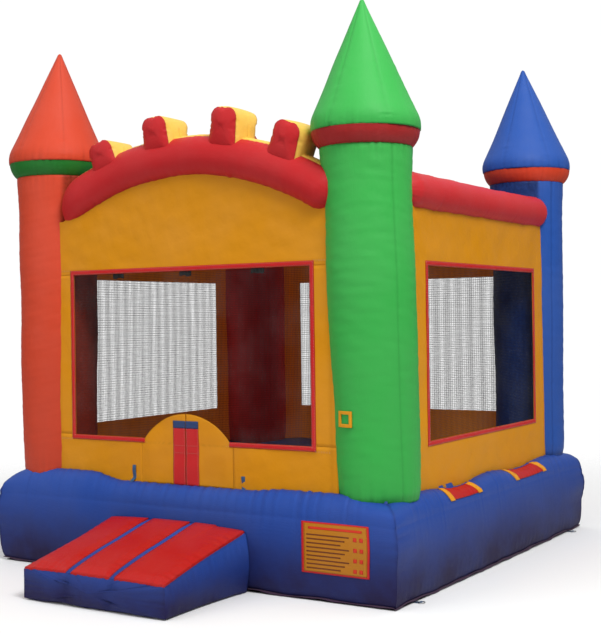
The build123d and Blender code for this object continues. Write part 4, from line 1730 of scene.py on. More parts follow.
def row_tree(name: str) -> bpy.types.GeometryNodeTree:
    """A geometry tree that sets a small rounded bar at even steps along a curve.

    Args:
        name: The tree's name.

    Returns:
        The tree, with inputs for the step and the bar's three sizes.
    """
    tree = bpy.data.node_groups.new(name, "GeometryNodeTree")
    tree.interface.new_socket("Geometry", in_out="INPUT", socket_type="NodeSocketGeometry")
    for key, value in (("Step", 0.02), ("Length", 0.011), ("Width", 0.0016)):
        tree.interface.new_socket(key, in_out="INPUT", socket_type="NodeSocketFloat").default_value = value
    tree.interface.new_socket("Material", in_out="INPUT", socket_type="NodeSocketMaterial")
    tree.interface.new_socket("Geometry", in_out="OUTPUT", socket_type="NodeSocketGeometry")
    nodes = Nodes(tree)
    given, out = nodes.add("NodeGroupInput").outputs, nodes.add("NodeGroupOutput").inputs
    points = nodes.add("GeometryNodeCurveToPoints", mode="LENGTH")
    nodes.feed(points.inputs["Curve"], given["Geometry"])
    nodes.feed(points.inputs["Length"], given["Step"])
    bar = nodes.add("GeometryNodeMeshUVSphere")
    bar.inputs["Segments"].default_value, bar.inputs["Rings"].default_value = 6, 4
    bar.inputs["Radius"].default_value = 0.5
    size = nodes.add("ShaderNodeCombineXYZ")
    nodes.feed(size.inputs[0], given["Width"])
    nodes.feed(size.inputs[1], given["Width"])
    nodes.feed(size.inputs[2], given["Length"])
    place = nodes.add("GeometryNodeInstanceOnPoints")
    nodes.feed(place.inputs["Points"], points.outputs["Points"])
    nodes.feed(place.inputs["Instance"], bar.outputs["Mesh"])
    nodes.feed(place.inputs["Rotation"], points.outputs["Rotation"])
    nodes.feed(place.inputs["Scale"], size.outputs[0])
    real = nodes.add("GeometryNodeRealizeInstances")
    nodes.feed(real.inputs[0], place.outputs[0])
    dressed = nodes.add("GeometryNodeSetMaterial")
    nodes.feed(dressed.inputs["Geometry"], real.outputs[0])
    nodes.feed(dressed.inputs["Material"], given["Material"])
    nodes.feed(out["Geometry"], dressed.outputs[0])
    return tree


@dataclass(frozen=True)
class Row:
    """A row of stitches or zip teeth."""

    step: float = 0.022
    length: float = 0.012
    width: float = 0.0022
    finish: str = "thread"
    slot: str = "webbing"

    def sew(self, name: str, runs: list[Array], body: str = HOUSE) -> bpy.types.Object:
        """Set the row along some runs.

        Args:
            name: The piece's name.
            runs: The points of each run.
            body: The body that it rides on.

        Returns:
            The piece.
        """
        tree = bpy.data.node_groups.get("Row of bars") or row_tree("Row of bars")
        line = line_object(f"{name}_line", runs)
        row = line.modifiers.new("row", "NODES")
        row.node_group = tree
        values = {
            "Step": self.step, "Length": self.length, "Width": self.width,
            "Material": WARDROBE.cloth(self.finish)
        }
        for item in tree.interface.items_tree:
            if item.in_out == "INPUT" and item.name in values:
                row[item.identifier] = values[item.name]
        bpy.context.view_layer.update()
        graph = bpy.context.evaluated_depsgraph_get()
        mesh = bpy.data.meshes.new_from_object(line.evaluated_get(graph), depsgraph=graph)
        piece = bpy.data.objects.new(name, mesh)
        mesh.name = name
        bpy.context.scene.collection.objects.link(piece)
        bpy.data.objects.remove(line)
        mesh.polygons.foreach_set("use_smooth", np.ones(len(mesh.polygons), bool))
        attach(piece, body)
        log.info("%s: %d faces", name, len(mesh.polygons))
        return piece


STITCHES = Row()


def on_side(side: Side, corners: list[tuple[float, float]], out: float, step: float = 0.03) -> Array:
    """A run along a side's own straight lines.

    Args:
        side: Which side.
        corners: Place along the side, and height, of each corner.
        out: Distance from the house's middle.
        step: How far apart its points are.

    Returns:
        The run's points.
    """
    rows = []
    for (a0, z0), (a1, z1) in zip(corners, corners[1:]):
        count = max(2, math.ceil(math.hypot(a1 - a0, z1 - z0) / step))
        share = np.linspace(0, 1, count, endpoint=False)
        rows.append(np.stack([a0 + (a1 - a0) * share, np.full(count, -out), z0 + (z1 - z0) * share], -1))
    rows.append(np.array([[corners[-1][0], -out, corners[-1][1]]]))
    return onto(np.concatenate(rows), side)


# ---- Walls, windows and door ----


@dataclass
class Walls:
    """The sewn wall panels, their mesh windows, and the tape round each window."""

    sizes: Sizes
    thickness: float = 0.0035
    tape: float = 0.040
    foot_drop: float = 0.085
    overlap: float = 0.065

    def slack(self, side: Side, along: Array, height: Array) -> Array:
        """How far a wall's outer face stands off its plane, from its folds."""
        seed = 400 + 20 * side.value
        flat = upright(along, height)
        window = self.sizes.front_window if side in (Side.FRONT, Side.REAR) else self.sizes.side_window
        over = np.maximum(
            np.abs(along) - window,
            np.maximum(self.sizes.window_low - height, height - self.sizes.window_high)
        )
        near = smooth(0.02, 0.10, over) * smooth(
            self.sizes.wall_half + 0.02, self.sizes.wall_half - 0.06, np.abs(along)
        )
        if side is Side.FRONT:
            near = near * np.where(height < self.sizes.window_low, smooth(0.46, 0.58, np.abs(along)), 1.0)
        return (0.0035 * swell(flat, 0.45, seed) + 0.0022 * swell(flat, 0.16, seed + 1)) * near

    def piece(
        self, name: str, side: Side, along: Array, height: Array, keep: Array | None, area: float,
        replaces: tuple[str, ...],
    ) -> None:
        """One wall panel, dressed and put on the house."""
        out = self.sizes.wall + 0.002 + self.slack(side, along, height)
        edge = np.minimum(self.sizes.wall_half - np.abs(along), 0.5)
        # Painted shade along the panel's edges and the seams above and below the windows.
        crease = 0.35 * peak(edge, 0.012)
        for seam in (self.sizes.window_low - self.tape, self.sizes.window_high + self.tape):
            crease = crease + 0.30 * peak(height - seam, 0.005)
        panel = cloth(name, side, along, height, out, self.thickness, keep, creased(crease))
        finish(panel, "yellow_vinyl", "wall_yellow", "wall_inside", replaces=replaces)

    def build_plain(self, side: Side) -> None:
        """Build a straight wall with one window."""
        reach = self.sizes.wall_half + self.overlap
        window = self.sizes.side_window if side is not Side.REAR else self.sizes.front_window
        low, high = self.sizes.base_top - self.foot_drop, self.sizes.wall_top + 0.02
        bottom, top = self.sizes.window_low, self.sizes.window_high
        columns = spread(-reach, -window, window, reach, step=0.03)
        rows = spread(low, bottom, top, high, step=0.03)
        along, height = np.meshgrid(columns, rows)
        middle = between(columns), between(rows)
        keep = ~((np.abs(middle[0])[None] < window) & ((middle[1] > bottom) & (middle[1] < top))[:, None])
        area = 2 * reach * (high - low) - 2 * window * (top - bottom)
        self.piece(f"wall_{side.word}_vinyl", side, along, height, keep, area, (f"wall_{side.word}",))

    def build_front(self) -> None:
        """Build the front's gable, two stiles and two sills."""
        reach, window = self.sizes.wall_half + self.overlap, self.sizes.front_window
        bottom, top = self.sizes.window_low, self.sizes.window_high
        columns = spread(-reach, reach, step=0.03)
        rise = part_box("front_gable")[1].z - self.sizes.wall_top
        span = reach - 0.12
        radius = (span**2 + rise**2) / (2 * rise)
        arc = np.sqrt(np.clip(radius**2 - columns**2, 0, None)) - radius + rise
        crown = self.sizes.wall_top + np.maximum(arc, 0.0) + 0.03
        share = np.linspace(0, 1, 28)[:, None]
        height = top + (crown - top)[None] * share
        area = float(np.trapz(crown - top, columns))
        self.piece(
            "front_gable_vinyl", Side.FRONT, columns[None] + 0 * height, height, None, area,
            ("front_gable",)
        )
        foot = self.sizes.base_top - self.foot_drop
        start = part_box("front_sill_right")[0].x - 0.004
        for word, sign in (("left", -1), ("right", 1)):
            for name, inner, low, high in (("stile", window, bottom, top), ("sill", start, foot, bottom)):
                ends = sorted((sign * inner, sign * reach))
                along, height = np.meshgrid(spread(*ends, step=0.03), spread(low, high, step=0.03))
                area = (reach - inner) * (high - low)
                node = f"front_{name}_{word}"
                self.piece(f"{node}_vinyl", Side.FRONT, along, height, None, area, (node,))

    def build_net(self, side: Side) -> None:
        """Build a window's net and the tape round it."""
        window = self.sizes.front_window if side in (Side.FRONT, Side.REAR) else self.sizes.side_window
        bottom, top = self.sizes.window_low - 0.006, self.sizes.window_high + 0.006
        columns = spread(-window - 0.006, window + 0.006, step=0.04)
        sill = np.full_like(columns, bottom)
        if side is Side.FRONT:
            door = Door(self.sizes)
            columns = np.sort(np.concatenate([columns, np.linspace(-door.radius, door.radius, 61)]))
            sill = np.maximum(bottom, door.arc(columns) + 0.002)
        share = np.linspace(0, 1, 40)[:, None]
        height = sill[None] + (top - sill)[None] * share
        along = columns[None] + 0 * height
        flat = upright(along, height)
        out = self.sizes.wall + 0.0005 + 0.003 * swell(flat, 0.7, 480 + side.value)
        net = cloth(f"window_net_{side.word}", side, along, height, out, 0.001)
        net.modifiers.clear()
        # The far windows get the grey painted-light copy of the black net.
        pale = side in (Side.LEFT, Side.REAR)
        finish(net, "black_mesh", "net_pale" if pale else "net_black", replaces=(f"net_{side.word}",))
        tape = self.build_tape(side, window)

    def build_tape(self, side: Side, window: float) -> bpy.types.Object:
        """Build the red tape round a window, with its two rows of stitches.

        Args:
            side: Which side.
            window: Half the window's width.

        Returns:
            The tape.
        """
        low, high, tape = self.sizes.window_low, self.sizes.window_high, self.tape
        columns = spread(-window - tape, -window, window, window + tape, step=0.02)
        rows = spread(low - tape, low, high, high + tape, step=0.02)
        if side is Side.FRONT:
            door = Door(self.sizes)
            edge = math.sqrt(door.radius**2 - (low - door.centre) ** 2)
            columns = np.sort(np.concatenate([columns, [-edge - 0.004, edge + 0.004]]))
        along, height = np.meshgrid(columns, rows)
        middle = np.meshgrid(between(columns), between(rows))
        keep = ~((np.abs(middle[0]) < window) & (middle[1] > low) & (middle[1] < high))
        runs_low = [(-window, window)]
        if side is Side.FRONT:
            keep &= ~((np.abs(middle[0]) < edge + 0.004) & (middle[1] < low))
            runs_low = [(-window, -edge - 0.012), (edge + 0.012, window)]
        plump = 0.0022 * np.cos(math.pi * np.clip((np.maximum(np.abs(along) - window, np.maximum(
            low - height, height - high)) / tape - 0.5), -0.5, 0.5)) ** 0.6
        wave = 0.0012 * ripple(along + height, 0.10, 500 + side.value)
        out = self.sizes.wall + 0.0062 + plump + wave
        border = np.maximum(np.abs(along) - window, np.maximum(low - height, height - high)) / tape
        # Painted shade along the tape's edges.
        crease = 0.4 * peak(0.5 - np.abs(border - 0.5), 0.12)
        piece = cloth(f"window_tape_{side.word}", side, along, height, out, 0.006, keep, {"crease": crease})
        finish(piece, "red_tape", "red_tape", "red_tape", replaces=(f"trim_{side.word}",))
        runs, face = [], self.sizes.wall + 0.0092
        for inset in (0.007, tape - 0.007):
            half, bottom, top = window + inset, low - inset, high + inset
            corner = [
                (runs_low[0][0] - inset, bottom), (-half, bottom), (-half, top), (half, top), (half, bottom)
            ]
            runs.append(on_side(side, corner[1:], face))
            for start, end in runs_low:
                ends = (max(start - inset, -half), min(end + inset, half))
                runs.append(on_side(side, [(ends[0], bottom), (ends[1], bottom)], face))
        STITCHES.sew(f"window_stitches_{side.word}", runs)
        return piece

    def build_seams(self) -> None:
        """Build the sewn seams between the front's panels, and the small straps inside."""
        reach, window, tape = self.sizes.wall_half, self.sizes.front_window, self.tape
        runs = []
        for height in (self.sizes.window_low - tape, self.sizes.window_high + tape):
            for sign in (-1, 1):
                for gap in (-0.004, 0.004):
                    ends = [(sign * (window + tape), height + gap), (sign * (reach - 0.01), height + gap)]
                    runs.append(on_side(Side.FRONT, ends, self.sizes.wall + 0.0045))
        STITCHES.sew("front_seam_stitches", runs)
        straps = []
        for number, along in enumerate((-0.704, 0.008, 0.717)):
            straps.append(self.strap(along, self.sizes.window_high - 0.018, number))
        finish(joined("window_straps", straps), "webbing", "black_strap")

    def strap(self, along: float, height: float, number: int) -> bpy.types.Object:
        """A short sewn strap with frayed waves, inside the front window's top edge."""
        grid_x, grid_z = np.meshgrid(np.linspace(-0.062, 0.062, 16), np.linspace(-0.022, 0.022, 7))
        out = self.sizes.wall - 0.004 + 0.004 * ripple(grid_x + number, 0.05, 520 + number)
        place = along + grid_x
        lift = height + grid_z + 0.004 * ripple(grid_x, 0.07, 530 + number)
        piece = cloth("strap", Side.FRONT, place, lift, out, 0.003)
        return settle(piece)

    def build(self) -> None:
        """Build every wall."""
        self.build_front()
        for side in (Side.RIGHT, Side.REAR, Side.LEFT):
            self.build_plain(side)
        for side in Side:
            self.build_net(side)
        self.build_seams()


@dataclass
class Door:
    """The half-round slit door: two leaves that fold outwards, their red bands, caps and ties."""

    sizes: Sizes
    radius: float = 0.543
    band_width: float = 0.130
    cap_height: float = 0.058
    bend: float = 0.055
    fold: float = 0.457
    slit: float = 0.003
    seams: tuple[float, float] = (1.03, 1.09)

    @property
    def centre(self) -> float:
        """The height of the arc's centre."""
        return self.sizes.base_top + 0.033

    def arc(self, along: Array) -> Array:
        """The door's outline at each place along the front, or 0 past its ends."""
        inside = np.abs(along) < self.radius
        return np.where(inside, self.centre + np.sqrt(np.clip(self.radius**2 - along**2, 0, None)), 0.0)

    def face(self, along: Array, height: Array) -> Array:
        """How far the leaf's outer face stands from the house's middle."""
        flat = upright(along, height)
        edge = smooth(0.47, 0.36, np.abs(along))
        return self.sizes.wall + 0.002 + edge * (
            0.004 + 0.005 * swell(flat, 0.35, 601) + 0.0015 * swell(flat, 0.12, 602)
        )

    def half(self, word: str, sign: int) -> None:
        """Build one leaf with what is sewn to it.

        Args:
            word: left or right.
            sign: -1 for left, 1 for right.
        """
        body = f"door_{word}"
        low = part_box(f"door_leaf_{word}")[0].z - 0.009
        columns = sign * np.concatenate(
            [np.linspace(self.slit, 0.38, 26), np.linspace(0.39, self.fold + 0.004, 12)]
        )
        columns.sort()
        share = np.linspace(0, 1, 34)[:, None]
        top = self.arc(columns)
        height = low + (top - low)[None] * share
        along = columns[None] + 0 * height
        rim = top[None] - height
        # Painted shade along the leaf's curved rim and its seam.
        crease = 0.5 * peak(rim, 0.010) + 0.35 * peak(height - 1.100, 0.005)
        leaf = cloth(
            f"door_leaf_{word}_vinyl", Side.FRONT, along, height, self.face(along, height), 0.003,
            values=creased(crease),
        )
        finish(leaf, "yellow_vinyl", "door_yellow", "wall_inside", body=None, replaces=(f"door_leaf_{word}",))
        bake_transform(leaf)
        band_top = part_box(f"door_band_{word}")[1].z
        for name, bottom, ceiling, look, slot, proud in (
            ("band", low, band_top - self.cap_height, "red_tape", "red_tape", 0.0035),
            ("cap", band_top - self.cap_height - 0.002, band_top, "blue_cap", "blue_vinyl", 0.0050),
        ):
            columns = np.sort(sign * np.linspace(self.slit, self.band_width, 14))
            along, height = np.meshgrid(columns, spread(bottom, ceiling, step=0.015))
            from_edge = np.minimum(np.abs(along) - self.slit, self.band_width - np.abs(along))
            wave = 0.0022 * ripple(height, 0.16, 610 + sign) + 0.0012 * ripple(along * 3 + height, 0.07, 612)
            out = self.face(along, height) + proud + 0.5 * np.abs(wave)
            # Painted shade along the band's edges and its seams.
            crease = 0.4 * peak(from_edge, 0.006)
            for seam in self.seams:
                crease = crease + 0.25 * peak(height - seam, 0.004)
            piece = cloth(f"door_{name}_{word}_tape", Side.FRONT, along, height, out, 0.0032, None,
                          creased(crease))
            stands_for = (f"door_band_{word}",) if name == "band" else ()
            finish(piece, slot, look, look, body=body, replaces=stands_for)
        runs = []
        for inset in (0.012, self.band_width - 0.008):
            a = sign * inset
            z = spread(low + 0.01, band_top - self.cap_height - 0.01, step=0.012)
            out = self.face(np.full_like(z, a), z) + 0.0052
            runs.append(np.stack([np.full_like(z, a), -out, z], -1))
        for seam in self.seams:
            a = sign * np.linspace(0.012, self.band_width - 0.008, 12)
            out = self.face(a, np.full_like(a, seam)) + 0.0052
            runs.append(np.stack([a, -out, np.full_like(a, seam)], -1))
        STITCHES.sew(f"door_stitches_{word}", runs, body)

    def ties(self) -> None:
        """Build the two navy straps at the door's sides, each hanging over the ledge."""
        straps = []
        for number, (along, top, bottom, tail) in enumerate(
            ((-0.548, 0.905, 0.800, -0.045), (0.564, 0.872, 0.772, -0.055))
        ):
            rise = np.linspace(0, 1, 26)
            height = np.where(
                rise < 0.55, top + (bottom - top) * rise / 0.55, bottom - 0.075 * (rise - 0.55) / 0.45
            )
            drift = tail * np.clip((rise - 0.55) / 0.45, 0, 1) ** 1.2
            out = self.sizes.wall + 0.007 + 0.055 * np.clip(
                (rise - 0.55) / 0.45, 0, 1
            ) + 0.004 * np.sin(rise * 9 + number)
            across = np.linspace(-0.017, 0.017, 5)
            a = along + drift[:, None] + across[None]
            straps.append(
                settle(cloth("tie", Side.FRONT, a, height[:, None] + 0 * a, out[:, None] + 0 * a, 0.0025))
            )
        finish(joined("door_ties", straps), "webbing", "navy_strap")

    def build(self) -> None:
        """Build the whole door."""
        for word, sign in (("left", -1), ("right", 1)):
            self.half(word, sign)
        self.ties()


# ---- Entry step ----


@dataclass
class Step:
    """The air-filled entry step: a blue body with three red panels on its sloping top."""

    sizes: Sizes
    low: Vector = field(init=False)
    high: Vector = field(init=False)
    front_height: float = 0.235
    side_bulge: float = 0.030
    top_bulge: float = 0.030
    tucks: tuple[float, float] = (-0.25, 0.174)

    def __post_init__(self) -> None:
        """Read the step's place from the frame."""
        self.low, self.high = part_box("step_body")

    def top(self, across: Array, inward: Array, proud: float = 0.0) -> Array:
        """Points on the sloping top.

        Args:
            across: Place across the step, -1 to 1.
            inward: Share of the way from the front edge to the base, 0 to 1.
            proud: How far above the surface.

        Returns:
            The points.
        """
        half = self.high.x
        rise = self.front_height + (self.high.z - self.front_height) * inward
        crown = np.clip(1 - across**2, 0, 1) ** 0.5 * np.clip(4 * inward * (1 - 0.72 * inward), 0, 1.2) ** 0.6
        edge = (1 - np.abs(across)) * half
        from_front = inward * (self.high.y - self.low.y)
        fold = pucker(from_front, edge, 0.060, 0.007, 0.13, 700) + pucker(
            across * half, from_front, 0.07, 0.007, 0.12, 701
        )
        rise = rise + self.top_bulge * crown + fold * smooth(0.0, 0.03, edge) + 0.010 * smooth(
            0.55, 1.0, inward
        ) * (across < 0.6)
        pull = 0.022 * (1 - across**2) * (1 - inward) ** 3
        side_pull = 0.016 * np.sin(math.pi * np.clip(inward, 0, 1))
        x = across * (half - side_pull * np.abs(across) ** 3)
        y = self.low.y + pull + inward * (self.high.y - self.low.y - pull)
        return np.stack([x, y, rise + proud], -1)

    def body(self) -> None:
        """Build the blue body as a closed skin of rings that run from the front to the base."""
        half, bottom = self.high.x, self.low.z + 0.004
        inward = np.concatenate([np.linspace(0, 0.12, 14)[:-1], np.linspace(0.12, 1.0, 64)])
        top_across = -np.cos(np.linspace(0, math.pi, 60)) * 0.4 + np.linspace(-1, 1, 60) * 0.6
        drop = np.linspace(0, 1, 20)[1:-1]
        under = np.linspace(1, -1, 30)
        rings, creases = [], []
        for share in inward:
            top = self.top(top_across, np.full_like(top_across, share))
            right, left = top[-1], top[0]
            y_shift = np.sin(math.pi * drop)
            sides, side_creases = [], []
            for edge, sign in ((right, 1), (left, -1)):
                height = edge[2] + (bottom - edge[2]) * drop
                from_front = share * (self.high.y - self.low.y)
                fold = pucker(np.full_like(drop, from_front), drop * edge[2], 0.06, 0.007, 0.10, 710 + sign)
                fold += pucker(
                    np.full_like(drop, from_front), (1 - drop) * edge[2], 0.07, 0.006, 0.08, 713 + sign
                )
                fullness = min(1.0, share / 0.10) ** 0.5
                x = edge[0] + sign * (self.side_bulge * y_shift * fullness + fold * y_shift**0.3)
                sides.append(np.stack([x, np.full_like(x, edge[1]), height], -1))
                side_creases.append(np.clip(-fold * 50, 0, 0.4))
            foot_y = np.full_like(under, right[1])
            foot = np.stack([under * abs(right[0]), foot_y, np.full_like(under, bottom) + 0.006 * (
                1 + ripple(under * half, 0.5, 716)) * float(share < 0.9)], -1)
            rings.append(np.concatenate([top, sides[0], foot, sides[1][::-1]]))
            # Painted shade: a dark line along the top's edges, the underside darkened throughout, and folds
            # on the sides.
            edge_mark = 0.45 * np.exp(-(((1 - np.abs(top_across)) * half / 0.008) ** 2))
            creases.append(
                np.concatenate([edge_mark, side_creases[0], np.full(30, 0.5), side_creases[1][::-1]])
            )
        rings, creases = np.array(rings), np.array(creases)
        front, face, marks = rings[0], [], []
        middle = np.array([0.0, front[:, 1].mean(), (self.front_height + bottom) / 2])
        for scale in (0.04, 0.2, 0.36, 0.5, 0.62, 0.72, 0.8, 0.87, 0.925, 0.965, 0.99):
            ring = middle + (front - middle) * scale
            spread_out = 1 - scale**3.0
            edge = (1 - scale) * 0.12
            fold = pucker(front[:, 0] + front[:, 2], np.full(len(front), edge), 0.055, 0.007, 0.05, 720)
            tucked = sum(peak(ring[:, 0] - stripe, 0.035) for stripe in self.tucks)
            ring[:, 1] -= 0.034 * spread_out * (1 - 0.75 * tucked) + fold * scale
            face.append(ring)
            marks.append(np.clip(-fold * 50, 0, 0.4) + 0.4 * math.exp(-((edge / 0.004) ** 2)))
        rings, creases = np.concatenate([np.array(face), rings]), np.concatenate([np.array(marks), creases])
        poles = (middle + (0, -0.036, 0), rings[-1].mean(0))
        piece = skin("vinyl_step_body", rings, creased(creases), poles)
        fill_with_air(piece, pressure=3.0, cap=0.006)
        finish(piece, "blue_vinyl", "step_blue", replaces=("step_body",), padded=1.0)

    def treads(self) -> None:
        """Build the three red panels on the top."""
        half = self.high.x
        for word in ("left", "middle", "right"):
            low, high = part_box(f"step_tread_{word}")
            start = -half + 0.012 if word == "left" else low.x
            stop = half - 0.012 if word == "right" else high.x
            across, inward = lattice(np.linspace(start, stop, 34) / half, np.linspace(0.004, 0.992, 62))
            edge = np.minimum(across * half - start, stop - across * half)
            end = np.minimum(inward, 1 - inward) * (self.high.y - self.low.y)
            rim = np.minimum(edge, end)
            fold = pucker(inward, edge, 0.075, 0.004, 0.06, 730)
            lift = 0.003 + 0.018 * smooth(0.0, 0.09, rim) + fold * smooth(0.0, 0.02, rim)
            upper = self.top(across, inward)
            upper[..., 2] += lift + 0.007
            lower = self.top(across, inward)
            lower[..., 2] -= 0.022
            # Painted shade in the folds and along the panels' edges.
            crease = np.clip(-fold * 70, 0, 0.35) + 0.45 * peak(rim, 0.006)
            piece = slab(f"vinyl_step_tread_{word}", upper, lower, np.clip(crease, 0, 1))
            finish(piece, "red_vinyl", "step_red", replaces=(f"step_tread_{word}",), padded=0.8)

    def build(self) -> None:
        """Build the whole step."""
        self.body()
        self.treads()


# ---- Inlet, zip and anchors ----


@dataclass
class Fittings:
    """The air inlet, the deflation zip, the anchors, and the patch on the front right tower."""

    sizes: Sizes

    def sleeve(self) -> None:
        """Build the air inlet's cloth sleeve, with a hem and a drawstrap."""
        low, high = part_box("air_inlet_sleeve")
        centre = np.array([(low.x + high.x) / 2, 0, (low.z + high.z) / 2])
        radius = (high.x - low.x) / 2
        length, angle = lattice(spread(low.y - 0.02, high.y, step=0.012), all_round(80))
        fold = pucker(angle * radius, length - low.y + 0.02, 0.05, 0.006, 0.10, 801)
        fold += pucker(angle * radius, np.abs(length - high.y + 0.09), 0.036, 0.004, 0.05, 802)
        fold += 0.0022 * swell(
            np.stack([np.cos(angle) * radius, length, np.sin(angle) * radius], -1), 0.14, 803
        )
        hem = 0.003 * smooth(high.y - 0.032, high.y - 0.028, length)
        outer = radius + fold * 0.7 + hem - 0.001
        rings = []
        for wall in (outer, outer - 0.004):
            height = np.maximum(centre[2] + wall * np.sin(angle), 0.003 if wall is outer else 0.006)
            rings.append(np.stack([centre[0] + wall * np.cos(angle), length, height], -1))
        rows, around = length.shape
        count = rows * around
        points = np.concatenate([r.reshape(-1, 3) for r in rings])
        tube = quads(rows, around, True)
        ring = np.arange(around)
        after = (ring + 1) % around
        ends = [np.stack([base + ring, base + after, base + after + count, base + ring + count], -1)
                for base in (0, (rows - 1) * around)]
        # Painted shade in the sleeve's folds.
        crease = np.tile(np.clip(-fold * 60, 0, 0.5).ravel(), 2)
        piece = mesh_object("air_sleeve_vinyl", points, [tube, tube + count, *ends], {"crease": crease})
        face_outwards(piece)
        finish(piece, "blue_vinyl", "roof_blue", replaces=("air_inlet_sleeve",), padded=0.3)
        strap_y, strap_angle = lattice(np.linspace(-0.014, 0.014, 4), all_round(80))
        girth = radius + 0.006 + 0.001 * np.cos(3 * strap_angle)
        place = [centre[0] + girth * np.cos(strap_angle), high.y - 0.09 + strap_y,
                 np.maximum(centre[2] + girth * np.sin(strap_angle), 0.002)]
        strap = mesh_object("air_sleeve_strap", np.stack(place, -1).reshape(-1, 3), [quads(4, 80, True)])
        thicken(strap, 0.003, 0)
        finish(strap, "webbing", "black_strap")

    def zip(self) -> None:
        """Build the zip's cloth tape and its teeth."""
        low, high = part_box("zip_tape")
        middle = (low.z + high.z) / 2
        face = low.y + 0.0025
        along, height = np.meshgrid(spread(low.x, high.x, step=0.01), np.linspace(low.z, high.z, 9))
        out = face + 0 * along - 0.0002 * (1 + ripple(along, 0.05, 811)) / 2
        tape = cloth("zip_cloth_tape", Side.REAR, -along, height, out, 0.0022)
        finish(tape, "zip_plastic", "zip_tape", "zip_tape", replaces=("zip_tape",))
        teeth = []
        for gap in (-0.0016, 0.0016):
            ends = low.x + 0.010, high.x - 0.010
            teeth.append(np.array([[x, face + 0.0014, middle + gap] for x in ends]))
        Row(
            step=0.0032, length=0.0021, width=0.0029, finish="zip_teeth", slot="zip_plastic"
        ).sew("zip_teeth", teeth)
        stops = []
        for x in (low.x + 0.005, high.x - 0.005):
            block = bmesh.new()
            size = Matrix.Diagonal((0.0095, 0.0052, 0.012, 1.0))
            place = Matrix.Translation((x, face + 0.0026, middle))
            bmesh.ops.create_cube(block, size=1.0, matrix=place @ size)
            bmesh.ops.bevel(block, geom=block.edges[:], offset=0.0012, segments=3, affect="EDGES")
            mesh = bpy.data.meshes.new("stop")
            block.to_mesh(mesh)
            block.free()
            stops.append(bpy.data.objects.new("stop", mesh))
        finish(joined("zip_stops", stops), "zip_plastic", "zip_teeth")
        runs = []
        for z in (low.z + 0.005, high.z - 0.005):
            runs.append(np.array([[low.x + 0.01, face + 0.0002, z], [high.x - 0.01, face + 0.0002, z]]))
        Row(step=0.012, length=0.007, width=0.0012).sew("zip_stitches", runs)

    def anchors(self) -> None:
        """Build the webbing tabs that hold the rings, and dress the steel rings and the slider."""
        steel = WARDROBE.cloth("zinc")
        nodes = frame_nodes()
        for name in [f"anchor_ring_{corner.word}" for corner in Corner] + ["zip_slider"]:
            node = nodes[name]
            for index in range(max(1, len(node.data.materials))):
                if len(node.data.materials):
                    node.data.materials[index] = steel
                else:
                    node.data.materials.append(steel)
        tabs, runs = [], []
        for corner in Corner:
            low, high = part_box(f"anchor_ring_{corner.word}")
            sx = corner.value[0]
            bar_x = low.x + 0.0035 if sx > 0 else high.x - 0.0035
            middle_y, bar_z = (low.y + high.y) / 2, (low.z + high.z) / 2
            reach = bar_x - sx * (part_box("ground_sheet")[1].x - 0.03)
            turn = np.linspace(-math.pi / 2, math.pi / 2, 11)
            loop = 0.0047
            path = [(-abs(reach), bar_z - loop), (-0.010, bar_z - loop)]
            path += [(loop * math.cos(t), bar_z + loop * math.sin(t)) for t in turn]
            path += [
                (-0.010, bar_z + loop), (-0.022, bar_z - loop + 0.0030),
                (-abs(reach), bar_z - loop + 0.0025)
            ]
            line = np.array(path)
            across = np.linspace(-0.022, 0.022, 9)
            x = bar_x + sx * line[:, 0][:, None] + 0 * across
            z = line[:, 1][:, None] + 0 * across
            y = middle_y + across[None] + 0 * x
            tab = mesh_object("tab", np.stack([x, y, z], -1).reshape(-1, 3), [quads(len(line), 9, False)])
            thicken(tab, 0.0014, 0)
            tabs.append(settle(tab))
            for inset in (0.026, 0.040):
                y_run = middle_y + np.array([-0.017, 0.017])
                x_run = np.full(2, bar_x - sx * inset)
                runs.append(np.stack([x_run, y_run, np.full(2, bar_z - loop + 0.0042)], -1))
        finish(joined("anchor_webbing", tabs), "webbing", "navy_strap", replaces=("anchor_tabs",))
        Row(step=0.005, length=0.0038, width=0.0010).sew("anchor_stitches", runs)

    def patch(self) -> None:
        """Build the small sewn yellow frame on the front right column."""
        centre, radius = self.sizes.tower, self.sizes.column_radius
        low, high, left, right, width = 1.300, 1.420, 1.468, 1.600, 0.024
        pieces = []
        for box in ((left, right, high - width, high), (left, right, low, low + width),
                    (left, left + width, low, high), (right - width, right, low, high)):
            x, z = np.meshgrid(spread(box[0], box[1], step=0.006), spread(box[2], box[3], step=0.006))
            out = centre - 0.014 + np.sqrt((radius + 0.004) ** 2 - (x - centre - 0.026) ** 2) + 0.008
            pieces.append(settle(cloth("edge", Side.FRONT, x, z, out, 0.012)))
        finish(joined("column_patch_frame", pieces), "yellow_vinyl", "yellow_edge")

    def build(self) -> None:
        """Build all the fittings."""
        self.sleeve()
        self.zip()
        self.anchors()
        self.patch()


def frame_nodes() -> dict[str, bpy.types.Object]:
    """The frame's own node objects by name."""
    return {o["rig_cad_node"]: o for o in bpy.context.scene.objects if "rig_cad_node" in o}


# ---- Studio ----


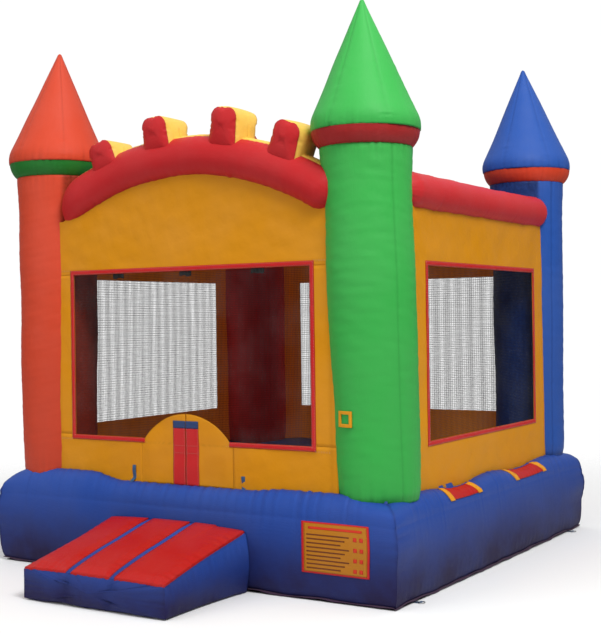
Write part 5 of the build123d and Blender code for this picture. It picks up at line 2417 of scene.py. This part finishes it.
@dataclass
class Studio:
    """The camera, the lights and the pale floor."""

    place: Colour = (5.973, -9.563, 2.112)
    yaw: float = math.radians(-32.171)
    pitch: float = math.radians(0.089)
    roll: float = math.radians(-0.808)
    lens: float = 71.52
    sensor: float = 36.0
    floor_size: float = 60.0
    floor_shade: float = 0.90
    floor_fade: tuple[float, float] = (3.2, 9.0)
    backdrop: float = 1.02
    low_sky: float = 0.20
    high_sky: float = 1.00

    def camera(self) -> None:
        """Set up the camera."""
        data = bpy.data.cameras.new("camera")
        data.lens, data.sensor_width, data.sensor_fit = self.lens, self.sensor, "HORIZONTAL"
        data.clip_end = 200.0
        forward = Vector((math.sin(self.yaw), math.cos(self.yaw), 0)) * math.cos(self.pitch)
        forward.z = math.sin(self.pitch)
        right = forward.cross(Vector((0, 0, 1))).normalized()
        up = right.cross(forward)
        turned_right = right * math.cos(self.roll) + up * math.sin(self.roll)
        turned_up = up * math.cos(self.roll) - right * math.sin(self.roll)
        camera = bpy.data.objects.new("camera", data)
        rotation = Matrix((turned_right, turned_up, -forward)).transposed().to_4x4()
        camera.matrix_world = Matrix.Translation(self.place) @ rotation
        bpy.context.scene.collection.objects.link(camera)
        bpy.context.scene.camera = camera

    def light(
        self, name: str, place: Colour, power: float, size: float, colour: Colour = (1.0, 1.0, 1.0)
    ) -> None:
        """Set up one soft lamp that faces the house."""
        data = bpy.data.lights.new(name, "AREA")
        data.energy, data.size, data.color = power, size, colour
        lamp = bpy.data.objects.new(name, data)
        lamp.location = place
        lamp.rotation_euler = (Vector((0, 0, 1.8)) - Vector(place)).to_track_quat("-Z", "Y").to_euler()
        bpy.context.scene.collection.objects.link(lamp)

    def floor(self) -> None:
        """Set up the pale floor and the even light round it."""
        half = self.floor_size / 2
        corners = np.array([[-half, -half, 0], [half, -half, 0], [half, half, 0], [-half, half, 0]], float)
        floor = mesh_object("studio_floor", corners, [np.array([[0, 1, 2, 3]])])
        material, nodes, shader = new_material("studio_floor")
        shader.inputs["Base Color"].default_value = (*[self.floor_shade] * 3, 1)
        shader.inputs["Roughness"].default_value = 0.9
        away = nodes.add("ShaderNodeVectorMath", operation="LENGTH")
        nodes.feed(away.inputs[0], nodes.object_place())
        nodes.feed(shader.inputs["Alpha"], nodes.ramp(away.outputs["Value"], *self.floor_fade, 1.0, 0.0))
        floor.data.materials.append(material)
        world = bpy.data.worlds.new("studio")
        world.use_nodes = True
        nodes = Nodes(world.node_tree)
        even = world.node_tree.nodes["Background"]
        even.inputs[0].default_value = (1.0, 1.0, 1.0, 1)
        upward = nodes.add("ShaderNodeSeparateXYZ")
        nodes.feed(upward.inputs[0], nodes.add("ShaderNodeTexCoord").outputs["Generated"])
        sky = nodes.ramp(upward.outputs[2], 0.0, 1.0, self.low_sky, self.high_sky)
        seen = nodes.add("ShaderNodeLightPath").outputs["Is Camera Ray"]
        nodes.feed(even.inputs[1], nodes.maths("MAXIMUM", sky, nodes.maths("MULTIPLY", seen, self.backdrop)))
        bpy.context.scene.world = world
        bpy.context.scene.view_settings.view_transform = "Standard"

    def build(self) -> None:
        """Build the studio."""
        self.floor()
        self.light("key", (8.0, -6.0, 11.5), 1150.0, 4.0)
        self.light("fill", (-4.0, -13.0, 5.0), 260.0, 6.0)
        self.camera()


# ---- The whole house ----


def main() -> None:
    """Build every sub-assembly in order."""
    logging.basicConfig(level=logging.INFO, format="%(name)s %(message)s")
    sizes = Sizes.read()
    Studio().build()
    Base(sizes).build()
    towers = (
        Tower(sizes, Corner.FRONT_LEFT, ("orange_vinyl", "green_band_vinyl"),
              ("tower_orange", "collar_green"), lean=(0.0, 0.0, 0.037)),
        Tower(sizes, Corner.FRONT_RIGHT, ("green_vinyl", "red_vinyl"), ("tower_green", "collar_red"),
              lean=(0.036, -0.028, -0.040)),
        Tower(sizes, Corner.REAR_RIGHT, ("blue_vinyl", "orange_vinyl"), ("tower_blue", "collar_orange"),
              lean=(0.0, 0.0, -0.020)),
        Tower(sizes, Corner.REAR_LEFT, ("red_vinyl", "yellow_vinyl"), ("tower_red", "collar_yellow"),
              lean=(-0.04, -0.06, -0.17), droop=0.12, gloom=0.1),
    )
    for part in (*towers, Crown(sizes), Walls(sizes), Door(sizes), Step(sizes), Fittings(sizes)):
        part.build()
        log.info("%s is built", type(part).__name__)


if __name__ == "__main__":
    main()
